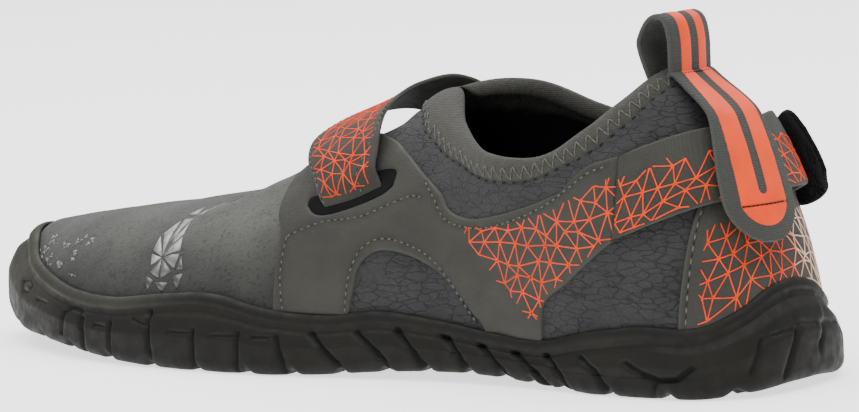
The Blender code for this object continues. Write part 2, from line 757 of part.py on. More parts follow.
def band_columns(rows):
    """Columns across a band from a table of its two edges and its lift."""
    columns = []
    for station in rows:
        low = place_at(station.side, LENGTH * station.low_along, INSTEP_HEIGHT * station.low)
        high = place_at(station.side, LENGTH * station.high_along, INSTEP_HEIGHT * station.high)
        column = []
        for i in range(4):
            row, share = blend(low[0], high[0], i / 3), blend(low[1], high[1], i / 3)
            column.append(off_skin(station.side, row, share, station.lift))
        columns.append(column)
    return columns


def smooth_columns(columns, steps):
    """More columns between the given ones, on smooth curves."""
    more = []
    for i in range((len(columns) - 1) * steps + 1):
        column = []
        for level in range(len(columns[0])):
            axes = [[c[level][axis] for c in columns] for axis in range(3)]
            column.append(Vector([through(values, i / steps, crosses=True) for values in axes]))
        more.append(column)
    return more


def make_heel_strap():
    """The band round the heel, from the medial cage to the lateral side."""
    strap = sheet("heel_strap", smooth_columns(band_columns(HEEL_STRAP), 2))
    face_outwards(strap, INSIDE)
    thicken(strap, STRAP_THICKNESS)
    return strap


def make_heel_hook_tab():
    """The black tail of the heel strap, which stands off the lateral side."""
    tab = sheet("heel_hook_tab", smooth_columns(band_columns(HEEL_TAB), 2))
    face_outwards(tab, INSIDE)
    thicken(tab, TAB_THICKNESS)
    return tab


def instep_columns(rows):
    """Columns across the instep strap, from its front edge to its rear edge."""
    columns = []
    for station in rows:
        side = -1 if station.wrap < 0 else 1
        share = 1 - abs(station.wrap)
        column = []
        for i in range(4):
            along = blend(station.front, station.rear, i / 3)
            column.append(off_skin(side, row_at(COLUMNS["along"], along), share, station.lift))
        columns.append(column)
    return columns


def make_instep_strap():
    """The band that leaves the medial slot and crosses the instep."""
    strap = sheet("instep_strap", smooth_columns(instep_columns(INSTEP_STRAP), 2))
    face_outwards(strap, INSIDE)
    thicken(strap, STRAP_THICKNESS)
    return strap


def make_instep_hook_tab():
    """The black end of the instep strap on the lateral side."""
    tab = sheet("instep_hook_tab", smooth_columns(instep_columns(INSTEP_TAB), 2))
    face_outwards(tab, INSIDE)
    thicken(tab, TAB_THICKNESS)
    return tab


def heel_line(height):
    """How far back the heel's middle reaches at a height."""
    return skin(1, LAST, share_at(1, LAST, height)).x


def make_bridge_strap():
    """The striped tab that hangs from the collar over the heel strap, round at its lower end."""
    columns = []
    end = BRIDGE_WIDTH / 2
    for i in range(BRIDGE_STEPS + 1):
        part = i / BRIDGE_STEPS
        height = blend(BRIDGE_TOP, BRIDGE_LOW, part)
        width = blend(BRIDGE_TOP_WIDTH, BRIDGE_WIDTH, smooth_step(part * 1.6)) / 2
        over = height - BRIDGE_LOW - end
        if over < 0:
            width *= math.sqrt(max(1 - (over / end) ** 2, 0.02))
        lift = blend(BRIDGE_TOP_LIFT, BRIDGE_LIFT, smooth_step(part * 4))
        column = []
        for k in range(5):
            across = width * (k - 2) / 2
            column.append(Vector((heel_line(height) + lift - across ** 2 / 2 / BRIDGE_CURVE, across, height)))
        columns.append(column)
    strap = sheet("bridge_strap", columns)
    face_outwards(strap, INSIDE)
    thicken(strap, STRAP_THICKNESS)
    return strap


def make_pull_loop():
    """The finger loop: webbing from inside the collar, over the top and down to the striped tab."""
    rim = top_point(1, LAST)
    depth = UPPER_WALL + 8 * CLEARANCE + LOOP_THICKNESS / 2
    inside = [off_skin(1, LAST, share, -depth) for share in LOOP_INSIDE]
    path = [(point.x, point.z) for point in inside]
    path += smooth_run([(rim.x + back, rim.z + up) for back, up in LOOP_PATH], 2)
    columns = []
    for x, z in path:
        column = []
        for k in range(3):
            across = LOOP_WIDTH / 2 * (k - 1)
            column.append(Vector((x - across ** 2 / 2 / LOOP_CURVE, across, z)))
        columns.append(column)
    loop = sheet("pull_loop", columns)
    wall = thicken(loop, LOOP_THICKNESS)
    wall.offset = 0
    return loop


def centre_over_origin(sole):
    """Moves every piece so that the middle of the sole's outline lies over the origin."""
    places = [vertex.co for vertex in sole.data.vertices]
    middle = [(min(p[axis] for p in places) + max(p[axis] for p in places)) / 2 for axis in (0, 1)]
    move = Matrix.Translation((-middle[0], -middle[1], 0.0))
    for thing in bpy.data.objects:
        thing.data.transform(move)


for thing in list(bpy.data.objects):
    bpy.data.objects.remove(thing)
SHOE = bpy.data.collections.new("water_shoe")
CUTTERS = bpy.data.collections.new("cutters")
bpy.context.scene.collection.children.link(SHOE)
bpy.context.scene.collection.children.link(CUTTERS)
outsole = make_outsole()
make_upper()
make_insole()
make_cage("cage_medial", -1, CAGE_RUNS, (SLOT,))
make_cage("cage_lateral", 1, CAGE_RUNS, ())
make_heel_counter()
make_heel_strap()
make_heel_hook_tab()
make_instep_strap()
make_instep_hook_tab()
make_bridge_strap()
make_pull_loop()
centre_over_origin(outsole)
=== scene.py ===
"""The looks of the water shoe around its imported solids: cloth, rubber, prints, stitches, straps, floor and light.

The toe points to -X and the heel to +X. The medial side is at -Y, the lateral side at +Y. Lengths are in metres.
Every piece follows one surface, the outside of the upper, which is worked out from the table SECTIONS.
"""

import math
import random
from collections import namedtuple

import bmesh
import bpy
import numpy as np
from mathutils import Matrix, Vector
from mathutils.bvhtree import BVHTree
from mathutils.geometry import delaunay_2d_cdt


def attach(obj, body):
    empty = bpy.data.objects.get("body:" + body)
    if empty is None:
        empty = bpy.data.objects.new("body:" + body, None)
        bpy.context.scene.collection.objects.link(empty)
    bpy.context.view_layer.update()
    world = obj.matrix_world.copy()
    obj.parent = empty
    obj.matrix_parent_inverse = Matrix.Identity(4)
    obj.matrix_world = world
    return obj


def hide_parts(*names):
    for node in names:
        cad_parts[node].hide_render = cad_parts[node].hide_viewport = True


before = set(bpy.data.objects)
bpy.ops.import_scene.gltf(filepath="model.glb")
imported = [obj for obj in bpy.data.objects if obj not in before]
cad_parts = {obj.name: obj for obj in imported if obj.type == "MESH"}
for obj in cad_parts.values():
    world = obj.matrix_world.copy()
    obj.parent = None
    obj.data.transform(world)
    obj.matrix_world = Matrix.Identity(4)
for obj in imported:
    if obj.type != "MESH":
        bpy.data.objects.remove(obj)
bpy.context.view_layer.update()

# Driving sizes of the shoe, metres
LENGTH = 0.279
BALL_WIDTH = 0.100
INSTEP_HEIGHT = 0.0685
HEEL_HEIGHT = 0.0822
COLLAR_WIDTH = 0.054
TOE_SPRING = 0.011

# Sizes of the outsole
TOE_RUBBER = 0.0052
SIDE_RUBBER = 0.0036
HEEL_RUBBER = 0.0050
SOLE_FLOOR = 0.0055
LUG_DEPTH = 0.0022
EDGE_ROUND = 0.0030
LIP_THICKNESS = 0.0019
LIP_HEIGHT = 0.0030

# Walls and the air between two pieces
UPPER_WALL = 0.0022
INSOLE_THICKNESS = 0.0030
CLEARANCE = 0.0003

Section = namedtuple("Section", "along medial lateral top_along ridge opening height extra fullness bulge")
# A row for each section from toe to heel. along and top_along are shares of LENGTH, from the middle of the shoe, for
# the lower edge and for the ridge or collar above it. medial, lateral and ridge are shares of BALL_WIDTH. opening is
# the collar's half width as a share of COLLAR_WIDTH. height is a share of INSTEP_HEIGHT, and past 1 it climbs to
# HEEL_HEIGHT. extra is what the lateral side adds to it. fullness is the power of the curve between edge and top,
# bulge a share of BALL_WIDTH.
SECTIONS = (
    Section(-0.4660, 0.080, -0.080, -0.4000, -0.075, 0.000, 0.507, 0.00, 2.2, 0.000),
    Section(-0.4590, 0.135, -0.015, -0.3980, -0.074, 0.000, 0.509, 0.00, 2.2, 0.000),
    Section(-0.4350, 0.200, 0.095, -0.3880, -0.070, 0.000, 0.518, 0.00, 2.2, 0.000),
    Section(-0.3880, 0.296, 0.222, -0.3600, -0.060, 0.000, 0.538, 0.00, 2.2, 0.000),
    Section(-0.3200, 0.380, 0.335, -0.3100, -0.040, 0.000, 0.567, 0.00, 2.2, 0.000),
    Section(-0.2300, 0.432, 0.420, -0.2300, -0.015, 0.000, 0.611, 0.00, 2.2, 0.000),
    Section(-0.1400, 0.443, 0.462, -0.1400, 0.000, 0.000, 0.671, 0.00, 2.1, 0.000),
    Section(-0.0500, 0.425, 0.462, -0.0500, 0.000, 0.000, 0.823, 0.00, 2.0, 0.000),
    Section(0.0300, 0.375, 0.430, 0.0300, 0.025, 0.000, 0.950, 0.00, 1.9, 0.004),
    Section(0.0950, 0.332, 0.395, 0.0790, 0.060, 0.000, 1.085, 0.00, 1.8, 0.008),
    Section(0.1600, 0.300, 0.362, 0.1350, 0.030, 0.250, 0.972, 0.135, 1.8, 0.014),
    Section(0.2250, 0.290, 0.340, 0.2000, 0.000, 0.450, 0.886, 0.115, 1.8, 0.022),
    Section(0.2950, 0.298, 0.330, 0.2700, 0.000, 0.500, 0.885, 0.020, 1.8, 0.024),
    Section(0.3700, 0.305, 0.322, 0.3180, 0.000, 0.450, 0.997, 0.000, 1.7, 0.020),
    Section(0.4350, 0.265, 0.285, 0.3450, 0.000, 0.330, 1.103, 0.00, 1.65, 0.014),
    Section(0.4730, 0.155, 0.165, 0.3560, 0.000, 0.165, 1.177, 0.00, 1.6, 0.006),
    Section(0.4820, 0.000, 0.000, 0.3590, 0.000, 0.000, 1.200, 0.00, 1.6, 0.000),
)
THROAT = 9
LAST = len(SECTIONS) - 1

Edge = namedtuple("Edge", "along bottom medial_lip lateral_lip")
# A row for each height of the outsole: along is a share of LENGTH, bottom a share of TOE_SPRING, the lips are
# shares of INSTEP_HEIGHT.
EDGES = (
    Edge(-0.466, 1.00, 0.465, 0.465),
    Edge(-0.437, 0.66, 0.424, 0.420),
    Edge(-0.400, 0.42, 0.362, 0.345),
    Edge(-0.345, 0.34, 0.308, 0.280),
    Edge(-0.290, 0.22, 0.270, 0.250),
    Edge(-0.230, 0.08, 0.263, 0.253),
    Edge(-0.160, 0.00, 0.293, 0.278),
    Edge(-0.100, 0.00, 0.304, 0.297),
    Edge(-0.030, 0.00, 0.256, 0.264),
    Edge(0.030, 0.06, 0.240, 0.243),
    Edge(0.085, 0.16, 0.262, 0.242),
    Edge(0.150, 0.22, 0.237, 0.235),
    Edge(0.210, 0.20, 0.204, 0.213),
    Edge(0.270, 0.10, 0.188, 0.195),
    Edge(0.330, 0.00, 0.237, 0.225),
    Edge(0.390, 0.00, 0.270, 0.260),
    Edge(0.440, 0.00, 0.265, 0.268),
    Edge(0.470, 0.10, 0.328, 0.328),
    Edge(0.482, 0.22, 0.409, 0.409),
)

Band = namedtuple("Band", "side low_along low high_along high lift")
# The heel strap from the medial cage round the heel: side, then each edge's place along (share of LENGTH)
# and height (share of INSTEP_HEIGHT), and the gap under the band in metres
HEEL_STRAP = (
    Band(-1, 0.3645, 0.590, 0.3640, 0.905, 0.0006),
    Band(-1, 0.394, 0.640, 0.386, 0.935, 0.0012),
    Band(-1, 0.421, 0.685, 0.404, 0.960, 0.0020),
    Band(-1, 0.438, 0.710, 0.415, 0.970, 0.0022),
    Band(1, 0.490, 0.720, 0.490, 0.970, 0.0024),
    Band(1, 0.452, 0.720, 0.427, 0.975, 0.0026),
    Band(1, 0.440, 0.710, 0.416, 0.975, 0.0030),
    Band(1, 0.420, 0.690, 0.402, 0.970, 0.0042),
    Band(1, 0.394, 0.650, 0.384, 0.940, 0.0040),
    Band(1, 0.360, 0.600, 0.356, 0.890, 0.0030),
)
HEEL_TAB = (
    Band(1, 0.352, 0.640, 0.348, 0.870, 0.0048),
    Band(1, 0.380, 0.640, 0.372, 0.930, 0.0059),
    Band(1, 0.402, 0.640, 0.392, 0.985, 0.0074),
    Band(1, 0.420, 0.680, 0.406, 0.980, 0.0090),
    Band(1, 0.428, 0.760, 0.416, 0.920, 0.0100),
)
Cross = namedtuple("Cross", "wrap front rear lift")
# The instep strap from the medial slot over the ridge: wrap is -1 at the medial edge of the sole, 0 on
# the ridge and 1 at the lateral edge; front and rear are shares of LENGTH; the gap under the band is in
# metres
INSTEP_STRAP = (
    Cross(-0.455, -0.004, 0.062, 0.0029),
    Cross(-0.400, -0.014, 0.060, 0.0034),
    Cross(-0.320, -0.028, 0.056, 0.0045),
    Cross(-0.200, -0.040, 0.048, 0.0054),
    Cross(-0.080, -0.036, 0.048, 0.0062),
    Cross(0.020, -0.022, 0.060, 0.0070),
    Cross(0.140, 0.004, 0.076, 0.0070),
    Cross(0.260, 0.018, 0.086, 0.0056),
    Cross(0.380, 0.026, 0.090, 0.0030),
    Cross(0.500, 0.030, 0.092, 0.0017),
)
INSTEP_TAB = (
    Cross(0.507, 0.030, 0.092, 0.0017),
    Cross(0.560, 0.032, 0.092, 0.0016),
    Cross(0.620, 0.038, 0.086, 0.0016),
)
# Shares of the heel's middle line along which the loop's front leg lies, inside the collar
LOOP_INSIDE = (0.930, 0.965, 0.995)
# The loop's path from there over the top to the striped tab: metres behind the rim's middle and above it
LOOP_PATH = (
    (-0.0044, 0.0050),
    (-0.0038, 0.0090),
    (-0.0014, 0.0125),
    (0.0014, 0.0136),
    (0.0040, 0.0120),
    (0.0052, 0.0074),
    (0.0053, -0.0003),
)
LOOP_WIDTH = 0.0180
LOOP_CURVE = 0.032
LOOP_THICKNESS = 0.0015
STRAP_THICKNESS = 0.0014
TAB_THICKNESS = 0.0012
CAGE_THICKNESS = 0.0009
COUNTER_THICKNESS = 0.0008
FLAP_LIFT = 0.0012
COUNTER_TOP = 0.730
BRIDGE_TOP = HEEL_HEIGHT - 0.0022
BRIDGE_LOW = 0.0385
BRIDGE_TOP_WIDTH = 0.0180
BRIDGE_WIDTH = 0.0240
BRIDGE_TOP_LIFT = 0.0010
BRIDGE_LIFT = 0.0062
BRIDGE_CURVE = 0.040
# Outlines in the side view, each a chain of smooth runs: along as a share of LENGTH, height of
# INSTEP_HEIGHT
CAGE_FRONT = ((-0.027, 0.05), (-0.034, 0.488), (-0.050, 0.620), (-0.060, 0.745))
CAGE_FLAP_TOP = ((-0.060, 0.745), (-0.040, 0.800), (0.000, 0.860), (0.032, 0.904))
CAGE_REAR_TOP = (
    (0.032, 0.904), (0.061, 0.897), (0.081, 0.861), (0.113, 0.783),
    (0.141, 0.718), (0.153, 0.668), (0.166, 0.644),
    (0.187, 0.634), (0.212, 0.648), (0.244, 0.679), (0.273, 0.715), (0.300, 0.757),
)
CAGE_STRAP_TOP = ((0.300, 0.757), (0.328, 0.856), (0.346, 0.882), (0.362, 0.902))
CAGE_END = ((0.362, 0.902), (0.362, 0.583))
CAGE_LEG = (
    (0.362, 0.583), (0.355, 0.567), (0.327, 0.479), (0.307, 0.414),
    (0.285, 0.355), (0.275, 0.286), (0.272, 0.05),
)
CAGE_WINDOW = (
    (0.203, 0.05), (0.203, 0.209), (0.185, 0.283), (0.166, 0.361),
    (0.149, 0.419), (0.123, 0.465), (0.098, 0.491),
    (0.077, 0.493), (0.064, 0.461), (0.058, 0.415), (0.056, 0.345), (0.053, 0.252), (0.052, 0.05),
)
SLOT = (
    (
        (-0.016, 0.650), (-0.004, 0.622), (0.012, 0.621), (0.041, 0.655), (0.068, 0.700), (0.079, 0.735),
    ),
    (
        (0.079, 0.735), (0.077, 0.790), (0.060, 0.790), (0.030, 0.745), (0.000, 0.700), (-0.016, 0.680),
        (-0.016, 0.650),
    ),
)
CAGE_RUNS = (CAGE_FRONT, CAGE_FLAP_TOP, CAGE_REAR_TOP, CAGE_STRAP_TOP, CAGE_END, CAGE_LEG, CAGE_WINDOW)


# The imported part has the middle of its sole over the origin; the tables below are measured from LENGTH's middle.
SHIFT = np.array([-0.002135, -0.001150, 0.0])
MM = 0.001


def curve(values, place, crosses=False):
    """The part's smooth curve through a column of numbers at fractional rows."""
    values = np.asarray(values, float)
    place = np.asarray(place, float)
    row = np.clip(place.astype(int), 0, len(values) - 2)
    part = place - row
    start, end = values[row], values[row + 1]
    before = np.where(row > 0, values[np.maximum(row - 1, 0)], 2 * start - end if crosses else end)
    after = np.where(row + 2 < len(values), values[np.minimum(row + 2, len(values) - 1)],
                     2 * end - start if crosses else start)
    out, into = (end - before) / 2, (after - start) / 2
    cube = 2 * start - 2 * end + out + into
    square = 3 * end - 3 * start - 2 * out - into
    return ((cube * part + square) * part + out) * part + start


def smooth_step(value):
    """An eased 0 to 1."""
    value = np.clip(value, 0.0, 1.0)
    return value * value * (3 - 2 * value)


COLUMNS = {name: [getattr(row, name) for row in SECTIONS] for name in Section._fields}
EDGE_COLUMNS = {name: [getattr(row, name) for row in EDGES] for name in Edge._fields}
FINE = np.linspace(0, len(EDGES) - 1, 2000)
FINE_ALONG = np.maximum.accumulate(curve(EDGE_COLUMNS["along"], FINE))
FINE_ROWS = np.linspace(0, LAST, 4000)
FINE_ROW_ALONG = np.maximum.accumulate(curve(COLUMNS["along"], FINE_ROWS))


def edge_value(name, along):
    """A height of the outsole at a share of the length."""
    return curve(EDGE_COLUMNS[name], np.interp(along, FINE_ALONG, FINE))


def along_of(row):
    """The share of the length at which a row's lower edge lies."""
    return curve(COLUMNS["along"], row)


def row_of(along):
    """The row whose lower edge lies at a share of the length."""
    return np.interp(along, FINE_ROW_ALONG, FINE_ROWS)


def bottom_height(along):
    """How high the sole's bottom stands off the floor."""
    return TOE_SPRING * np.maximum(edge_value("bottom", along), 0.0)


def lip_height(side, along):
    """Top of the rubber on one side."""
    medial, lateral = edge_value("medial_lip", along), edge_value("lateral_lip", along)
    return INSTEP_HEIGHT * np.where(np.asarray(side) < 0, medial, lateral)


def base_and_top(side, row):
    """Lower edge of the upper, and its ridge or collar."""
    side, row = np.asarray(side, float), np.asarray(row, float)
    along = along_of(row)
    width = np.where(side < 0, curve(COLUMNS["medial"], row, True), curve(COLUMNS["lateral"], row, True))
    base = np.stack([LENGTH * along, side * BALL_WIDTH * width,
                     bottom_height(along) + SOLE_FLOOR + CLEARANCE], -1)
    opening = np.where(row <= THROAT, 0.0, np.maximum(curve(COLUMNS["opening"], row, True), 0.0))
    across = BALL_WIDTH * curve(COLUMNS["ridge"], row) + side * COLLAR_WIDTH * opening
    height = curve(COLUMNS["height"], row)
    heel = np.maximum(height - 1.0, 0.0) / (COLUMNS["height"][-1] - 1.0)
    height = INSTEP_HEIGHT * np.minimum(height, 1.0) + (HEEL_HEIGHT - INSTEP_HEIGHT) * heel
    height = height + np.where(side > 0, INSTEP_HEIGHT * np.maximum(curve(COLUMNS["extra"], row), 0.0), 0.0)
    top = np.stack([LENGTH * curve(COLUMNS["top_along"], row), across, height], -1)
    return base, top


def skin(side, row, share):
    """Points on the upper's outside: share 0 is the lower edge, 1 the ridge or the collar."""
    side, row, share = np.broadcast_arrays(np.asarray(side, float), row, share)
    base, top = base_and_top(side, row)
    power = 2 / curve(COLUMNS["fullness"], row)
    out = np.maximum(np.cos(share * math.pi / 2), 0.0) ** power
    rise = np.maximum(np.sin(share * math.pi / 2), 0.0) ** power
    bulge = side * BALL_WIDTH * curve(COLUMNS["bulge"], row) * np.sin(math.pi * share)
    x = top[..., 0] + (base[..., 0] - top[..., 0]) * out
    y = top[..., 1] + (base[..., 1] - top[..., 1]) * out + bulge
    z = base[..., 2] + (top[..., 2] - base[..., 2]) * rise
    return np.stack([x, y, z], -1)


def share_at(side, row, height):
    """The share at which the upper's outside reaches a height."""
    base, top = base_and_top(side, row)
    rise = np.clip((height - base[..., 2]) / (top[..., 2] - base[..., 2]), 0.0, 1.0)
    return np.arcsin(rise ** (curve(COLUMNS["fullness"], row) / 2)) * 2 / math.pi


def unit(vectors):
    """Vectors of length one."""
    return vectors / np.maximum(np.linalg.norm(vectors, axis=-1, keepdims=True), 1e-12)


def outward(side, row, share):
    """Unit normals of the upper's outside."""
    side, row, share = np.broadcast_arrays(np.asarray(side, float), row, share)
    step = 0.01
    low, high = np.maximum(row - step, 0.0), np.minimum(row + step, float(LAST))
    along = skin(side, high, share) - skin(side, low, share)
    up = skin(side, row, np.minimum(share + step, 1.0)) - skin(side, row, np.maximum(share - step, 0.0))
    return unit(np.cross(along, up) * -side[..., None])


def off_skin(side, row, share, distance):
    """Points at a distance outside the upper."""
    return skin(side, row, share) + outward(side, row, share) * np.asarray(distance)[..., None]


def lip_share(side, row):
    """The share at which the upper leaves the rubber."""
    return share_at(side, row, lip_height(side, along_of(row)))


def place_at(side, along, height):
    """Row and share of the place on the upper at a distance along the shoe and a height."""
    low, high = 0.0, float(LAST)
    for _ in range(26):
        row = (low + high) / 2
        if skin(side, row, share_at(side, row, height))[0] < along:
            low = row
        else:
            high = row
    return row, float(share_at(side, row, height))


def even_rows(count, share, exact=()):
    """Rows that lie evenly along the upper, as seen at one share."""
    fine = np.linspace(0.0, float(LAST), 3000)
    path = (skin(-1, fine, share) + skin(1, fine, share) * (1, -1, 1)) / 2
    length = np.concatenate([[0], np.cumsum(np.linalg.norm(np.diff(path, axis=0), axis=1))])
    rows = np.interp(np.linspace(0, length[-1], count), length, fine)
    for value in exact:
        rows[np.argmin(np.abs(rows - value))] = value
    return rows


def grid_faces(columns, levels, start=0):
    """Quads between columns of points, listed column by column."""
    i = np.arange(columns - 1)
    k = np.arange(levels - 1)
    a = start + i[:, None] * levels + k[None, :]
    b = a + levels
    return np.stack([a, b, b + 1, a + 1], -1).reshape(-1, 4)


def new_mesh(name, points, faces, materials=(), merge=None, slots=None, shift=True, **values):
    """A mesh object from points and faces in the tables' place, with numbers on its points."""
    points = np.asarray(points, float).reshape(-1, 3)
    mesh = bpy.data.meshes.new(name)
    faces = [tuple(int(v) for v in face) for face in faces]
    mesh.from_pydata((points + (SHIFT if shift else 0)).tolist(), [], faces)
    for material in materials:
        mesh.materials.append(material)
    if slots is not None:
        mesh.polygons.foreach_set("material_index", np.asarray(slots, dtype=np.int32))
    for key, data in values.items():
        layer = mesh.attributes.new(key, "FLOAT", "POINT")
        layer.data.foreach_set("value", np.asarray(data, float).ravel())
    if merge:
        bm = bmesh.new()
        bm.from_mesh(mesh)
        bmesh.ops.remove_doubles(bm, verts=bm.verts, dist=merge)
        bmesh.ops.dissolve_degenerate(bm, edges=bm.edges, dist=merge / 4)
        bm.to_mesh(mesh)
        bm.free()
    mesh.validate()
    mesh.polygons.foreach_set("use_smooth", [True] * len(mesh.polygons))
    thing = bpy.data.objects.new(name, mesh)
    bpy.context.scene.collection.objects.link(thing)
    return thing


def make_piece(name, points, faces, slot, nodes=(), **options):
    """A closed piece that faces outwards, stays on the one body and may stand for solids; its slot is not used."""
    piece = new_mesh(name, points, faces, **options)
    bm = bmesh.new()
    bm.from_mesh(piece.data)
    bmesh.ops.recalc_face_normals(bm, faces=bm.faces)
    bm.to_mesh(piece.data)
    bm.free()
    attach(piece, "root")
    if nodes:
        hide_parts(*nodes)
    return piece


class Shell:
    """Grids of points that grow into one closed piece."""

    def __init__(self):
        self.points, self.faces, self.slots, self.values = [], [], [], {}
        self.start = 0

    def add(self, grid, flip, slot=0, **values):
        """Adds a grid of points, with a material slot for its faces and numbers for its points."""
        columns, levels = grid.shape[:2]
        self.points.append(grid.reshape(-1, 3))
        quads = grid_faces(columns, levels, self.start)
        self.faces.append(quads[:, ::-1] if flip else quads)
        self.slots.append(np.broadcast_to(slot, (columns - 1, levels - 1)).ravel())
        for key, value in values.items():
            self.values.setdefault(key, []).append(np.broadcast_to(value, (columns, levels)).ravel())
        self.start += columns * levels

    def piece(self, name, slot, node, materials, merge):
        """The piece that the grids make, which stands for one solid."""
        values = {key: np.concatenate(parts) for key, parts in self.values.items()}
        return make_piece(name, np.vstack(self.points), np.vstack(self.faces), slot, (node,), materials=materials,
                          merge=merge, slots=np.concatenate(self.slots), **values)


def segment_distance(points, line, flat=False):
    """Distance from points to a line of segments; flat leaves the across direction out."""
    points, line = np.asarray(points, float), np.asarray(line, float)
    if flat:
        points, line = points[:, [0, 2]], line[:, [0, -1]]
    best = np.full(len(points), 1e9)
    for a, b in zip(line[:-1], line[1:]):
        d = b - a
        t = np.clip((points - a) @ d / max(d @ d, 1e-18), 0, 1)
        best = np.minimum(best, np.linalg.norm(points - a - t[:, None] * d, axis=1))
    return best


def smooth_run(points, steps=6):
    """A smooth line through a few given points."""
    points = np.asarray(points, float)
    place = np.linspace(0, len(points) - 1, (len(points) - 1) * steps + 1)
    return np.stack([curve(points[:, axis], place, True) for axis in range(points.shape[1])], -1)


def even_line(points, step):
    """The same line with points at even steps."""
    points = np.asarray(points, float)
    length = np.concatenate([[0], np.cumsum(np.linalg.norm(np.diff(points, axis=0), axis=1))])
    count = max(int(round(length[-1] / step)), 1)
    place = np.linspace(0, length[-1], count + 1)
    return np.stack([np.interp(place, length, points[:, axis]) for axis in range(points.shape[1])], -1)


def inside_outline(points, outline):
    """Which flat points lie inside a closed outline."""
    x, y = points[:, 0], points[:, 1]
    result = np.zeros(len(points), bool)
    ring = np.vstack([outline, outline[:1]])
    for (ax, ay), (bx, by) in zip(ring[:-1], ring[1:]):
        crosses = (ay > y) != (by > y)
        with np.errstate(divide="ignore", invalid="ignore"):
            at = (bx - ax) * (y - ay) / (by - ay) + ax
        result ^= crosses & (x < at)
    return result


def wavy(points, size, seed=0.0):
    """Soft unevenness of -1 to 1 with waves of about a size, the same each run."""
    p = np.asarray(points, float) * (2 * math.pi / size)
    total = 0
    for i in range(5):
        a, b, c = math.sin(1.7 * i + seed), math.cos(2.3 * i + seed), math.sin(3.1 * i + 0.7 + seed)
        total = total + np.sin(p[..., 0] * a + p[..., 1] * b + p[..., 2] * c + 1.3 * i + seed)
    return total / 5


